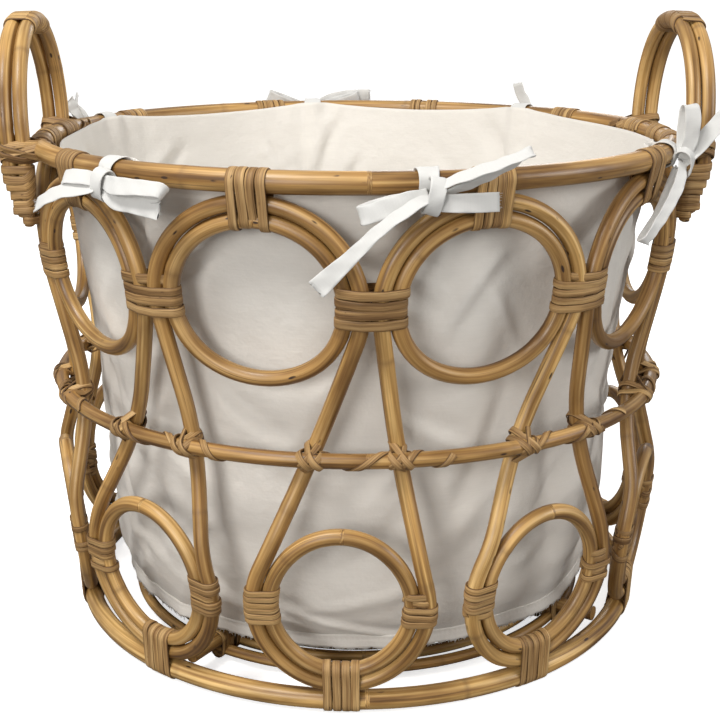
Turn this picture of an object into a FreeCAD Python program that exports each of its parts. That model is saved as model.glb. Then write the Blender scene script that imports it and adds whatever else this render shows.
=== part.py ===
import FreeCAD, Part
import math
import os

# Round laundry basket of bent cane with a tied-in cloth liner.
# Frame: +Z up, origin on the floor under the basket's centre, handles at +X and -X, front at -Y.
# Millimetres and degrees. Angles about Z are measured from the front (-Y) towards +X.

# Driving dimensions: cane and peel
panels = 10                # identical panels around the basket
ring_cane = 10.6           # diameter of the cane in rings and stakes
rim_cane = 14.5
waist_cane = 10.0
base_cane = 14.0
floor_cane = 8.0
bar_cane = 11.0
handle_cane = 10.5
seat = 0.2                 # gap left between canes that lie against each other
peel = 1.8                 # build-up of the wound peel on a binding
peel_clear = 0.15          # gap between a binding and the cane inside it
base_flat = 0.4            # how far the floor flattens the base bindings

# Driving dimensions: frame
rim_radius = 232.5
waist_inset = 3.5          # waist hoop inside the rim's centre line
base_radius = 217.5
waist_height = 184.0
upper_inset = 9.0          # upper ring centres inside the rim's centre line
upper_height = 283.5       # upper ring centres above the floor
upper_half_height = 51.6
upper_ease = 1.6           # the sharper arcs' radius is this much under the ring's shorter half
lower_flare = 7.5          # lower ring centres outside the base hoop's centre line
lower_half_width = 46.5
lower_half_height = 51.0
lower_ease = 4.5
waist_turn = -2.4          # slow turn of the pattern about Z, below the upper rings
lower_turn = -4.9
waist_spread = 10.9        # stake leg from its panel's middle, at the waist
waist_bend = 24.0          # turn of a stake leg where it passes inside the waist hoop
waist_cut = 35.0           # length either side of the waist that this bend takes
stake_lead = 14.0          # length in which a stake leg turns out of a ring's plane
stake_end_gap = 1.0        # from the middle of a lower ring to the stake ends under it

# Driving dimensions: floor
floor_insets = (40.0, 56.5, 73.0)    # floor hoops inside the base hoop's centre line
bar_end_inset = 6.0
bar_angle = -35.5

# Driving dimensions: bindings, measured along the canes that they hold
top_width = 24.0
shoulder_width = 25.0
side_width = 24.0
base_width = 24.0
waist_width = 14.0
floor_width = 14.0

# Driving dimensions: handles, with heights measured from the rim's centre line
handle_rise = 85.9         # top of the inner cane's arch, centre line
foot_offset = 0.437        # from a handle's foot to the joint of two panels, towards the handle
handle_bend_drop = 8.1
handle_bend_radius = 60.0
handle_lean = 1.5
inner_end_drop = 58.1
outer_end_drop = 42.1
grip_half_angle = 20.0
foot_bottom_drop = 54.1
foot_top_drop = 8.1
foot_loop_width = 18.0
wrap_peel = 1.4            # thinner peel wound on the rim between a handle's feet
wrap_gap = 1.0             # from this winding to the bindings beside it

# Driving dimensions: liner and ties, with the liner measured from the rim's centre line
cloth = 2.5
hem_rise = 3.9
hem_inset = 9.9
shoulder_drop = 58.1
shoulder_inset = 19.5
belly_drop = 133.1
belly_inset = 20.5         # from the narrower of the rim and base hoops
liner_corner = 22.0
liner_seam_inset = 42.5    # where the liner's wall meets its floor, inside the base hoop
liner_seat = 0.3           # gap between the liner's floor and the lashed bars that carry it
seam_gap = 0.1
front_tie_angle = 8.0
side_tie_gap = 10.0        # from a handle's foot to the tie in front of it
back_tie_gap = 30.4        # from a handle's foot to the tie behind it
tie_width = 14.0
tie_cloth = 1.6
tie_clear = 0.4
knot_size = 14.0
bow_gap = 1.0              # from the loop round the rim's widest wrap to the bow
loop_length = 24.0
loop_thickness = 8.0
tail_length = 45.0
tail_spread = 28.0

# Worked out from the above
pitch = 360.0 / panels
half_pitch = pitch / 2
waist_radius = rim_radius - waist_inset
upper_distance = rim_radius - upper_inset
lower_distance = base_radius + lower_flare
cane_step = ring_cane + seat
upper_reach = upper_half_height + cane_step + (ring_cane + rim_cane) / 2 + seat
lower_reach = lower_half_height + cane_step + (ring_cane + base_cane) / 2 + seat
upper_lean = math.degrees(math.asin((rim_radius - upper_distance) / upper_reach))
lower_lean = math.degrees(math.asin((lower_distance - base_radius) / lower_reach))
rim_height = upper_height + upper_reach * math.cos(math.radians(upper_lean))
base_height = peel + base_cane / 2 - base_flat
lower_height = base_height + lower_reach * math.cos(math.radians(lower_lean))
waist_stake_radius = waist_radius - (waist_cane + ring_cane) / 2 - seat
floor_radii = [base_radius - inset for inset in floor_insets]
bar_end_radius = base_radius - bar_end_inset
bar_rise = math.sqrt((base_cane / 2 + seat) ** 2 - (base_radius - bar_end_radius) ** 2)
bar_height = base_height + bar_rise + bar_cane / 2
floor_height = bar_height - (bar_cane + floor_cane) / 2 - seat
handle_top = rim_height + handle_rise
handle_bend_height = rim_height - handle_bend_drop
inner_end_height = rim_height - inner_end_drop
outer_end_height = rim_height - outer_end_drop
foot_bottom = rim_height - foot_bottom_drop
foot_top = rim_height - foot_top_drop
handle_step = handle_cane + seat
handle_radius = rim_radius + (rim_cane + handle_cane) / 2 + seat
foot_angle = half_pitch - foot_offset
handle_half_span = handle_radius * math.sin(math.radians(foot_angle))
handle_distance = handle_radius * math.cos(math.radians(foot_angle))
hem_height = rim_height + hem_rise
hem_radius = rim_radius - hem_inset
shoulder_height = rim_height - shoulder_drop
shoulder_radius = rim_radius - shoulder_inset
belly_height = rim_height - belly_drop
belly_radius = min(rim_radius, base_radius) - belly_inset
liner_seam_radius = base_radius - liner_seam_inset
liner_bottom = bar_height + bar_cane / 2 + peel + liner_seat
side_tie_angle = 90 - foot_angle - side_tie_gap
back_tie_angle = 90 + foot_angle + back_tie_gap
tie_angles = (front_tie_angle, side_tie_angle, back_tie_angle)

origin = FreeCAD.Vector(0, 0, 0)
up = FreeCAD.Vector(0, 0, 1)


def sin(angle):
    return math.sin(math.radians(angle))


def cos(angle):
    return math.cos(math.radians(angle))


def outwards(angle):
    return FreeCAD.Vector(sin(angle), -cos(angle), 0)


def sideways(angle):
    return FreeCAD.Vector(cos(angle), sin(angle), 0)


def turned(shape, angle):
    """A copy of a shape made at the front, turned to its place about Z."""
    copy = shape.copy()
    copy.rotate(origin, up, angle)
    return copy


class Panel:
    """Leaning plane of a ring: x sideways and rise along the slope, from the ring's centre."""

    def __init__(self, angle, distance, height, lean):
        self.centre = outwards(angle) * distance + up * height
        self.side = sideways(angle)
        self.slope = outwards(angle) * sin(lean) + up * cos(lean)

    def point(self, x, rise):
        return self.centre + self.side * x + self.slope * rise

    def seen(self, point):
        """Sideways and rise of a point, looking square at the panel."""
        away = point - self.centre
        return away.dot(self.side), away.dot(self.slope)


def upper_panel(index):
    return Panel(half_pitch + pitch * index, upper_distance, upper_height, upper_lean)


def lower_panel(index):
    return Panel(pitch * index + lower_turn, lower_distance, lower_height, lower_lean)


class Oval:
    """Oval of four tangent arcs about the origin, the sharper pair's radius under its shorter half."""

    def __init__(self, half_width, half_height, ease):
        long_half = max(half_width, half_height)
        short_half = min(half_width, half_height)
        sharp_radius = short_half - ease
        offset = long_half - sharp_radius
        blunt_radius = ((offset ** 2 + short_half ** 2 - sharp_radius ** 2)
                        / (2 * (short_half - sharp_radius)))
        tall = half_height > half_width
        self.side_radius = blunt_radius if tall else sharp_radius
        self.end_radius = sharp_radius if tall else blunt_radius
        self.side_centre = half_width - self.side_radius
        self.end_centre = half_height - self.end_radius
        between = blunt_radius - sharp_radius
        self.join_angle = math.degrees(math.asin(abs(self.end_centre) / between))

    def arc_at(self, angle):
        """Radius and centre of the arc whose outward normal has this angle from +x."""
        bearing = (angle + 180) % 360 - 180
        if min(abs(bearing), 180 - abs(bearing)) < self.join_angle:
            return self.side_radius, (math.copysign(1, cos(angle)) * self.side_centre, 0)
        return self.end_radius, (0, math.copysign(1, sin(angle)) * self.end_centre)

    def touch(self, x, rise, grow, side):
        """Normal angle at which the line to (x, rise) leaves the grown side arc."""
        run = x * side - self.side_centre
        bearing = math.degrees(math.atan2(rise, run))
        opening = math.degrees(math.acos((self.side_radius + grow) / math.hypot(run, rise)))
        angle = bearing - math.copysign(opening, rise)
        return angle if side > 0 else 180 - angle


upper_stake_x = (upper_distance * sin(half_pitch) - cane_step / 2) / cos(half_pitch)
upper_half_width = upper_stake_x - cane_step
upper_oval = Oval(upper_half_width, upper_half_height, upper_ease)
lower_oval = Oval(lower_half_width, lower_half_height, lower_ease)


def oval_arcs(panel, oval, first, last, grow=0.0):
    """The oval's arcs in a panel, grown outwards, between two normal angles."""
    joins = [turn + bearing for turn in (-360, 0, 360)
             for bearing in (oval.join_angle, 180 - oval.join_angle,
                             180 + oval.join_angle, -oval.join_angle)]
    low, high = min(first, last), max(first, last)
    stops = [low] + sorted(join for join in joins if low + 0.1 < join < high - 0.1) + [high]
    if first > last:
        stops.reverse()
    edges = []
    for start, end in zip(stops, stops[1:]):
        radius, centre = oval.arc_at((start + end) / 2)
        spots = []
        for angle in (start, (start + end) / 2, end):
            x = centre[0] + (radius + grow) * cos(angle)
            rise = centre[1] + (radius + grow) * sin(angle)
            spots.append(panel.point(x, rise))
        edges.append(Part.Arc(*spots).toShape())
    return edges


def rounded_run(points, cuts):
    """Straight runs through points, with a tangent arc that starts a cut before each corner."""
    edges = []
    start = points[0]
    for before, corner, after, cut in zip(points, points[1:], points[2:], cuts):
        into = (corner - before).normalize()
        out = (after - corner).normalize()
        half_turn = into.getAngle(out) / 2
        radius = cut / math.tan(half_turn)
        inside = (out - into).normalize()
        middle = corner + inside * (radius / math.cos(half_turn) - radius)
        arc_start = corner - into * cut
        arc_end = corner + out * cut
        if (arc_start - start).Length > 1e-6:
            edges.append(Part.makeLine(start, arc_start))
        edges.append(Part.Arc(arc_start, middle, arc_end).toShape())
        start = arc_end
    if (points[-1] - start).Length > 1e-6:
        edges.append(Part.makeLine(start, points[-1]))
    return edges


def cane(edges, diameter):
    """Round cane along a chain of tangent lines and arcs."""
    path = Part.Wire(edges)
    first = path.OrderedEdges[0]
    start = path.OrderedVertexes[0].Point
    along = first.tangentAt(first.Curve.parameter(start))
    section = Part.Wire([Part.makeCircle(diameter / 2, start, along)])
    return Part.Solid(path.makePipeShell([section], True, False))


def ring(panel, oval, diameter):
    """Closed oval ring of cane: two bent halves with their ends joined."""
    start = oval.join_angle
    halves = [cane(oval_arcs(panel, oval, angle, angle + 180), diameter)
              for angle in (start, start + 180)]
    return one_solid(halves[0].fuse(halves[1]))


def hoop(radius, height, diameter):
    return Part.makeTorus(radius, diameter / 2, up * height)


def one_solid(shape):
    """The largest solid of a boolean result."""
    return max(shape.Solids, key=lambda solid: solid.Volume)


def export(name, *solids):
    shape = solids[0] if len(solids) == 1 else Part.makeCompound(list(solids))
    shape.exportStep("parts/" + name + ".step")


def hull_face(circles, place):
    """Face inside the convex outline round circles (a, b, radius), placed by place(a, b)."""
    count = len(circles)
    mean_a = sum(circle[0] for circle in circles) / count
    mean_b = sum(circle[1] for circle in circles) / count
    ordered = sorted(circles, key=lambda c: math.atan2(c[1] - mean_b, c[0] - mean_a))
    normals = []
    for here, there in zip(ordered, ordered[1:] + ordered[:1]):
        run, rise = there[0] - here[0], there[1] - here[1]
        length = math.hypot(run, rise)
        share = (here[2] - there[2]) / length
        rest = math.sqrt(1 - share ** 2)
        normals.append(math.atan2(rise * share - run * rest, run * share + rise * rest))
    edges = []
    for i, (a, b, radius) in enumerate(ordered):
        start, end = normals[i - 1], normals[i]
        while end < start:
            end += 2 * math.pi
        if end - start > 1e-4:
            spots = [place(a + radius * math.cos(angle), b + radius * math.sin(angle))
                     for angle in (start, (start + end) / 2, end)]
            edges.append(Part.Arc(*spots).toShape())
        next_a, next_b, next_radius = ordered[(i + 1) % count]
        tangent_end = place(a + radius * math.cos(end), b + radius * math.sin(end))
        next_start = place(next_a + next_radius * math.cos(end),
                           next_b + next_radius * math.sin(end))
        edges.append(Part.makeLine(tangent_end, next_start))
    return Part.Face(Part.Wire(edges))


def section_plane(out, rise):
    """Outwards and up, in the upright plane through the front."""
    return outwards(0) * out + up * rise


def across(circles, width):
    """Block wound round canes that run sideways at the front: circles (out, up, radius)."""
    face = hull_face(circles, section_plane)
    face.translate(sideways(0) * (-width / 2))
    return face.extrude(sideways(0) * width)


def upright(circles, height, width, way):
    """Block wound round canes that run upwards along way: circles (side, out, radius)."""
    face = hull_face(circles, lambda side, out: sideways(0) * side + outwards(0) * out)
    face.translate(up * height - way * (width / 2))
    return face.extrude(way * width)


def less(block, *canes):
    """A binding's block with the canes that run through it cut out, one after another."""
    for piece in canes:
        block = block.cut(piece)
    return one_solid(block)


def loose(diameter):
    """Diameter of the hole that a cane needs in a binding."""
    return diameter + 2 * peel_clear


def fall(radius, width):
    """How far an arc falls away from its tangent by the edge of a binding."""
    return radius - math.sqrt(radius ** 2 - (width / 2) ** 2)


# Canes
def stake_leg(index, side):
    """Half a stake: the arch over its upper ring, then down and under a lower ring."""
    upper = upper_panel(index)
    lower = lower_panel(index + (side + 1) // 2)
    near = -side
    corner_inset = waist_cut * math.tan(math.radians(waist_bend) / 2) / 2
    waist_angle = half_pitch + pitch * index + waist_turn + side * waist_spread
    waist = outwards(waist_angle) * (waist_stake_radius - corner_inset) + up * waist_height
    leave = upper_oval.touch(*upper.seen(waist), cane_step, side)
    arrive = lower_oval.touch(*lower.seen(waist), cane_step, near)
    arrive -= 360 if arrive > 90 else 0
    foot_gap = math.degrees(stake_end_gap / 2 / (lower_oval.end_radius + cane_step))
    arch = oval_arcs(upper, upper_oval, 90, leave, cane_step)
    foot = oval_arcs(lower, lower_oval, arrive, -90 + near * foot_gap, cane_step)
    start = arch[-1].valueAt(arch[-1].LastParameter)
    end = foot[0].valueAt(foot[0].FirstParameter)
    first = start + arch[-1].tangentAt(arch[-1].LastParameter) * stake_lead
    last = end - foot[0].tangentAt(foot[0].FirstParameter) * stake_lead
    cuts = (stake_lead, waist_cut, stake_lead)
    return arch + rounded_run((start, first, waist, last, end), cuts) + foot


def stake(index, diameter):
    left = stake_leg(index, -1)
    left.reverse()
    return cane(left + stake_leg(index, 1), diameter)


def handle_path(offset, end_height):
    """Arched handle cane at the front; offset is its place outside the inner cane."""
    radius = handle_bend_radius - offset
    lean_up = outwards(0) * sin(handle_lean) + up * cos(handle_lean)
    straight = ((handle_top - handle_bend_height - handle_bend_radius * sin(handle_lean))
                / cos(handle_lean) - handle_half_span)
    legs = []
    for side in (-1, 1):
        middle = (sideways(0) * (side * handle_half_span) + up * handle_bend_height
                  + outwards(0) * (handle_distance + handle_bend_radius))
        bend = [middle - outwards(0) * (radius * cos(turn)) + up * (radius * sin(turn))
                for turn in (0, handle_lean / 2, handle_lean)]
        foot = bend[0] + up * (end_height - handle_bend_height)
        legs.append([foot] + bend + [bend[-1] + lean_up * straight])
    left, right = legs
    top = (left[-1] + right[-1]) * 0.5 + lean_up * handle_half_span
    return [Part.makeLine(left[0], left[1]), Part.Arc(*left[1:4]).toShape(),
            Part.makeLine(left[3], left[4]), Part.Arc(left[4], top, right[4]).toShape(),
            Part.makeLine(right[4], right[3]),
            Part.Arc(right[3], right[2], right[1]).toShape(),
            Part.makeLine(right[1], right[0])]


def inner_handle(diameter):
    return cane(handle_path(0, inner_end_height), diameter)


def outer_handle(diameter):
    return cane(handle_path(handle_step, outer_end_height), diameter)


def floor_bar(diameter, from_below):
    """Cross bar with half its depth cut away where it crosses the other one."""
    bar = Part.makeCylinder(diameter / 2, 2 * bar_end_radius,
                            outwards(0) * -bar_end_radius + up * bar_height, outwards(0))
    notch = bar_cane + 2 * seat
    depth = bar_cane
    low = bar_height - depth + seat / 2 if from_below else bar_height - seat / 2
    slot = Part.makeBox(notch, notch, depth, FreeCAD.Vector(-notch / 2, -notch / 2, low))
    return bar.cut(slot)


# Bindings of wound peel, each made at the front
def top_binding(index):
    """Holds the rim, a stake's arch and the top of an upper ring."""
    drop = fall(upper_oval.end_radius, top_width) / 2
    rise = upper_half_height - drop
    ring_out = upper_distance + rise * sin(upper_lean)
    ring_up = upper_height + rise * cos(upper_lean)
    return across([(rim_radius, rim_height, rim_cane / 2 + peel),
                   (ring_out, ring_up, ring_cane / 2 + drop + peel)], top_width)


def base_binding():
    """Holds the base hoop, two stake ends and the bottom of a lower ring; flat underneath."""
    lift = fall(lower_oval.end_radius, base_width) / 2
    rise = -lower_half_height + lift
    ring_out = lower_distance + rise * sin(lower_lean)
    ring_up = lower_height + rise * cos(lower_lean)
    block = across([(base_radius, base_height, base_cane / 2 + peel),
                    (ring_out, ring_up, ring_cane / 2 + lift + peel)], base_width)
    reach = base_radius * 2
    below = Part.makeBox(reach, reach, peel, FreeCAD.Vector(-reach / 2, -reach, -peel))
    return block.cut(below)


def shoulder_binding():
    """Holds the sides of two upper rings and the two stake legs between them."""
    ring_shift = fall(upper_oval.side_radius, shoulder_width) / 2
    stake_shift = fall(upper_oval.side_radius + cane_step, shoulder_width) / 2
    circles = []
    for side in (-1, 1):
        for x, shift in ((upper_half_width, ring_shift), (upper_stake_x, stake_shift)):
            turn = -side * half_pitch
            out = upper_distance * cos(half_pitch) + (x - shift) * sin(half_pitch)
            away = -upper_distance * sin(half_pitch) + (x - shift) * cos(half_pitch)
            circles.append((side * -away * math.copysign(1, turn * -side), out,
                            ring_cane / 2 + shift + peel))
    way = up + outwards(0) * (math.tan(math.radians(upper_lean)) * cos(half_pitch))
    return upright(circles, upper_height, shoulder_width, way)


def side_binding(side):
    """Holds one side of a lower ring and the stake leg beside it."""
    shift = fall(lower_oval.side_radius, side_width) / 2
    circles = [(side * (x - shift), lower_distance, ring_cane / 2 + shift + peel)
               for x in (lower_half_width, lower_half_width + cane_step)]
    way = up + outwards(0) * math.tan(math.radians(lower_lean))
    return upright(circles, lower_height, side_width, way)


def waist_lashing():
    """Holds a stake leg to the inside of the waist hoop."""
    return across([(waist_radius, waist_height, waist_cane / 2 + peel),
                   (waist_stake_radius, waist_height, waist_cane / 2 + peel)], waist_width)


def floor_lashing(radius):
    """Holds a floor hoop under a cross bar."""
    face = hull_face([(0, bar_height, bar_cane / 2 + peel),
                      (0, floor_height, floor_cane / 2 + peel)],
                     lambda side, rise: sideways(0) * side + up * rise)
    face.translate(outwards(0) * (radius - floor_width / 2))
    return face.extrude(outwards(0) * floor_width)


def grip_binding():
    """Holds the two canes of a handle together round the top of the arch."""
    inner = handle_path(0, inner_end_height)[3]
    centre = inner.Curve.Center
    axis = outwards(0) * cos(handle_lean) - up * sin(handle_lean)
    lean_up = outwards(0) * sin(handle_lean) + up * cos(handle_lean)
    top = centre + lean_up * handle_half_span
    radius = handle_cane / 2 + peel
    face = hull_face([(0, 0, radius), (handle_step, 0, radius)],
                     lambda out, rise: top + axis * out + lean_up * rise)
    face.rotate(centre, axis, -grip_half_angle)
    return face.revolve(centre, axis, 2 * grip_half_angle)


def foot_lashing(side):
    """Holds a handle's foot: a sleeve round both canes and a loop over the rim."""
    radius = handle_cane / 2 + peel
    x = side * handle_half_span
    sleeve = upright([(x, handle_distance, radius), (x, handle_distance + handle_step, radius)],
                     (foot_top + foot_bottom) / 2, foot_top - foot_bottom, up)
    outer = handle_radius + handle_step * cos(foot_angle)
    loop = across([(rim_radius, rim_height, rim_cane / 2 + peel),
                   (outer, rim_height, radius)], foot_loop_width)
    return sleeve.fuse(turned(loop, side * foot_angle))


def rim_wrap(side):
    """Peel wound on the rim between a handle's foot and the top binding beside it."""
    start = math.degrees((top_width / 2 + wrap_gap) / rim_radius)
    end = foot_angle - math.degrees((foot_loop_width / 2 + wrap_gap) / rim_radius)
    rings = [Part.Wire([Part.makeCircle(rim_cane / 2 + grow, section_plane(rim_radius, rim_height),
                                        sideways(0))]) for grow in (wrap_peel, peel_clear)]
    face = Part.Face(rings)
    face.rotate(origin, up, start)
    sleeve = face.revolve(origin, up, end - start)
    return sleeve if side > 0 else sleeve.mirror(origin, sideways(0))


# Cloth
def liner_profile(inset):
    """Side of the liner from the floor seam to the hem, moved inwards by inset."""
    points = [(liner_seam_radius, liner_bottom + inset), (belly_radius - inset, liner_bottom + inset),
              (belly_radius - inset, belly_height), (shoulder_radius - inset, shoulder_height),
              (hem_radius - inset, hem_height)]
    places = [section_plane(out, rise) for out, rise in points]
    corner = liner_corner - inset
    return rounded_run(places, (corner, liner_corner, liner_corner))


def liner_wall():
    outside = liner_profile(0)
    inside = liner_profile(cloth)
    ends = []
    for place in (0, -1):
        spots = [Part.Wire(side).OrderedVertexes[place].Point for side in (outside, inside)]
        ends.append(Part.makeLine(*spots))
    face = Part.Face(Part.Wire(Part.__sortEdges__(outside + inside + ends)))
    return face.revolve(origin, up, 360)


def liner_base():
    return Part.makeCylinder(liner_seam_radius - seam_gap, cloth, up * liner_bottom)


def tie():
    """Tape loop round the rim, knotted in a bow outside it, made at the front."""
    hole = rim_cane / 2 + tie_clear
    rim_middle = section_plane(rim_radius, rim_height) - sideways(0) * (tie_width / 2)
    loop = Part.makeCylinder(hole + tie_cloth, tie_width, rim_middle, sideways(0))
    hollow = Part.makeCylinder(hole, tie_width, rim_middle, sideways(0))
    front = rim_radius + hole + tie_cloth
    knot = Part.makeBox(knot_size, knot_size, knot_size, FreeCAD.Vector(
        -knot_size / 2, -front - knot_size + bow_gap, rim_height - knot_size / 2))
    pieces = [loop, knot]
    back = front + bow_gap
    for side in (-1, 1):
        bow = Part.makeBox(loop_length, loop_thickness, tie_width, FreeCAD.Vector(
            0, -back - loop_thickness, -tie_width / 2))
        tail = Part.makeBox(tie_width, cloth, tail_length, FreeCAD.Vector(
            -tie_width / 2, -back - cloth, -tail_length))
        bow.rotate(origin, outwards(0), 0 if side > 0 else 180)
        tail.rotate(origin, outwards(0), side * tail_spread)
        for piece in (bow, tail):
            piece.translate(up * rim_height)
            pieces.append(piece)
    return one_solid(pieces[0].multiFuse(pieces[1:]).cut(hollow))


# Build
os.makedirs("parts", exist_ok=True)
rim = (rim_radius, rim_height)
waist_hoop = (waist_radius, waist_height)
base_hoop = (base_radius, base_height)
export("rim_hoop", hoop(*rim, rim_cane))
export("waist_hoop", hoop(*waist_hoop, waist_cane))
export("base_hoop", hoop(*base_hoop, base_cane))
for number, radius in enumerate(floor_radii, 1):
    export("floor_hoop_%d" % number, hoop(radius, floor_height, floor_cane))
export("floor_bar_1", turned(floor_bar(bar_cane, False), bar_angle))
export("floor_bar_2", turned(floor_bar(bar_cane, True), bar_angle + 90))
for index in range(panels):
    export("upper_ring_%02d" % (index + 1), ring(upper_panel(index), upper_oval, ring_cane))
    export("lower_ring_%02d" % (index + 1), ring(lower_panel(index), lower_oval, ring_cane))
    export("stake_%02d" % (index + 1), stake(index, ring_cane))

for name, angle in (("right", 90), ("left", -90)):
    export("handle_%s_inner" % name, turned(inner_handle(handle_cane), angle))
    export("handle_%s_outer" % name, turned(outer_handle(handle_cane), angle))

# Canes with room round them, in the first panel, to cut the bindings
room = loose(ring_cane)
upper_rings = [ring(upper_panel(index), upper_oval, room) for index in (-1, 0)]
lower_ring = ring(lower_panel(0), lower_oval, room)
stakes = [stake(index, room) for index in (-1, 0)]
rim_room = hoop(*rim, loose(rim_cane))
waist_room = hoop(*waist_hoop, loose(waist_cane))
base_room = hoop(*base_hoop, loose(base_cane))
handle_room = [inner_handle(loose(handle_cane)), outer_handle(loose(handle_cane))]
floor_room = [hoop(radius, floor_height, loose(floor_cane)) for radius in floor_radii]

top = less(turned(top_binding(0), half_pitch), rim_room, stakes[1], upper_rings[1])
shoulder = less(shoulder_binding(), *upper_rings, *stakes)
base = less(turned(base_binding(), lower_turn), base_room, lower_ring, *stakes)
sides = [less(turned(side_binding(side), lower_turn), lower_ring, stakes[(side + 1) // 2])
         for side in (-1, 1)]
waists = [less(turned(waist_lashing(), half_pitch + waist_turn + side * waist_spread),
               waist_room, stakes[1]) for side in (-1, 1)]
repeats = [pitch * index for index in range(panels)]
export("top_bindings", *[turned(top, angle) for angle in repeats])
export("shoulder_bindings", *[turned(shoulder, angle) for angle in repeats])
export("base_bindings", *[turned(base, angle) for angle in repeats])
export("side_bindings", *[turned(side, angle) for side in sides for angle in repeats])
export("waist_lashings", *[turned(waist, angle) for waist in waists for angle in repeats])

bar_room = Part.makeCylinder(loose(bar_cane) / 2, bar_end_radius, up * bar_height, outwards(0))
floor_lashings = [less(floor_lashing(radius), bar_room, *floor_room) for radius in floor_radii]
quarters = [bar_angle + 90 * quarter for quarter in range(4)]
export("floor_lashings", *[turned(one, angle) for one in floor_lashings for angle in quarters])

grip = less(grip_binding(), *handle_room)
feet = [less(foot_lashing(side), rim_room, *handle_room) for side in (-1, 1)]
wraps = [rim_wrap(side) for side in (-1, 1)]
export("grip_bindings", *[turned(grip, angle) for angle in (90, -90)])
export("foot_lashings", *[turned(foot, angle) for foot in feet for angle in (90, -90)])
export("rim_wraps", *[turned(wrap, angle) for wrap in wraps for angle in (90, -90)])

export("liner_wall", liner_wall())
export("liner_base", liner_base())
for number, angle in enumerate([turn + angle for turn in (0, 180) for angle in tie_angles], 1):
    export("tie_%d" % number, turned(tie(), angle))
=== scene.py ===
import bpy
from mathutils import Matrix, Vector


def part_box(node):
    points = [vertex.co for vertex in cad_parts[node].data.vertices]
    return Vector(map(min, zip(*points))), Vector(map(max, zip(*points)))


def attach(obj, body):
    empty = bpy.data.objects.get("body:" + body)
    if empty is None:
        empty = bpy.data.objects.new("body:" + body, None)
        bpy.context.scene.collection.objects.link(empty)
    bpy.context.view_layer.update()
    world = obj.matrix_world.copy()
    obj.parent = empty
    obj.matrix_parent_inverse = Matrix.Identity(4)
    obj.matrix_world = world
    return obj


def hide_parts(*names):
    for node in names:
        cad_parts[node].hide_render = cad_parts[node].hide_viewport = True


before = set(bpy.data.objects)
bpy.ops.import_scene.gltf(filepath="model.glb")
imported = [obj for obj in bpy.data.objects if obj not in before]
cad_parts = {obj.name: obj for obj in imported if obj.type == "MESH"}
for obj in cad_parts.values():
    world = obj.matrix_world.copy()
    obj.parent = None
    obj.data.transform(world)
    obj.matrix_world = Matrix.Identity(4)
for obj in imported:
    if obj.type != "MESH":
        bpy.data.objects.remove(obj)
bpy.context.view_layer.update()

import copy
import math
import random

import bpy
import numpy as np
from mathutils import Vector

# Laundry basket of bent cane with a tied-in liner. Metres, Z up, handles at +X and -X, front at -Y.
# Angles about Z are in degrees, from the front towards +X.

MM = 0.001
CANE_FRAME = "cane_frame"
LINER = "liner"


def sin(angle):
    return math.sin(math.radians(angle))


def cos(angle):
    return math.cos(math.radians(angle))


def outwards(angle):
    return np.array([sin(angle), -cos(angle), 0.0])


def sideways(angle):
    return np.array([cos(angle), sin(angle), 0.0])


UP = np.array([0.0, 0.0, 1.0])


def unit(v):
    return v / np.linalg.norm(v)


def eased(share):
    """Smooth step from 0 to 1."""
    return share * share * (3 - 2 * share)


def linked(name, data):
    """A new object in the scene."""
    thing = bpy.data.objects.new(name, data)
    bpy.context.scene.collection.objects.link(thing)
    return thing


# ---------------------------------------------------------------- camera
CAMERA_AZIMUTH = -2.2
CAMERA_DISTANCE = 0.9526
CAMERA_HEIGHT = 0.468
TARGET_HEIGHT = 0.1811
TARGET_SIDE = 0.0027
LENS = 62.2


def make_camera():
    data = bpy.data.cameras.new("camera")
    data.lens = LENS
    data.sensor_width = 36.0
    camera = linked("camera", data)
    place = outwards(CAMERA_AZIMUTH) * CAMERA_DISTANCE + UP * CAMERA_HEIGHT
    target = sideways(CAMERA_AZIMUTH) * TARGET_SIDE + UP * TARGET_HEIGHT
    camera.location = place
    camera.rotation_euler = Vector(target - place).to_track_quat("-Z", "Y").to_euler()
    bpy.context.scene.camera = camera


make_camera()


# ---------------------------------------------------------------- sizes read from the frame
def vertices(node):
    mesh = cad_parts[node].data
    co = np.zeros(len(mesh.vertices) * 3)
    mesh.vertices.foreach_get("co", co)
    return co.reshape(-1, 3)


def extent(node, direction):
    """Middle and half size of a CAD node along a direction."""
    along = vertices(node) @ direction
    return (along.max() + along.min()) / 2, (along.max() - along.min()) / 2


def hoop_size(node):
    """Centre-line radius, height and cane radius of a level hoop."""
    height, cane_radius = extent(node, UP)
    return extent(node, sideways(0))[1] - cane_radius, height, cane_radius


PANELS = 10
PITCH = 360 / PANELS
HALF = PITCH / 2
LOWER_TURN = -4.9
WAIST_TURN = -2.4
RING_R = 5.3 * MM
STEP = 10.8 * MM
UPPER_EASE = 1.6 * MM
LOWER_EASE = 4.5 * MM
WAIST_SPREAD = 10.9
WAIST_BEND = 24.0
WAIST_CUT = 35 * MM
STAKE_LEAD = 14 * MM
STAKE_END_GAP = 1 * MM

RIM_R, RIM_Z, RIM_CANE = hoop_size("rim_hoop")
WAIST_R, WAIST_Z, WAIST_CANE = hoop_size("waist_hoop")
BASE_R, BASE_Z, BASE_CANE = hoop_size("base_hoop")
FLOOR_HOOPS = [hoop_size("floor_hoop_%d" % n) for n in (1, 2, 3)]
WAIST_STAKE_R = WAIST_R - WAIST_CANE - STEP + RING_R


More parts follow.
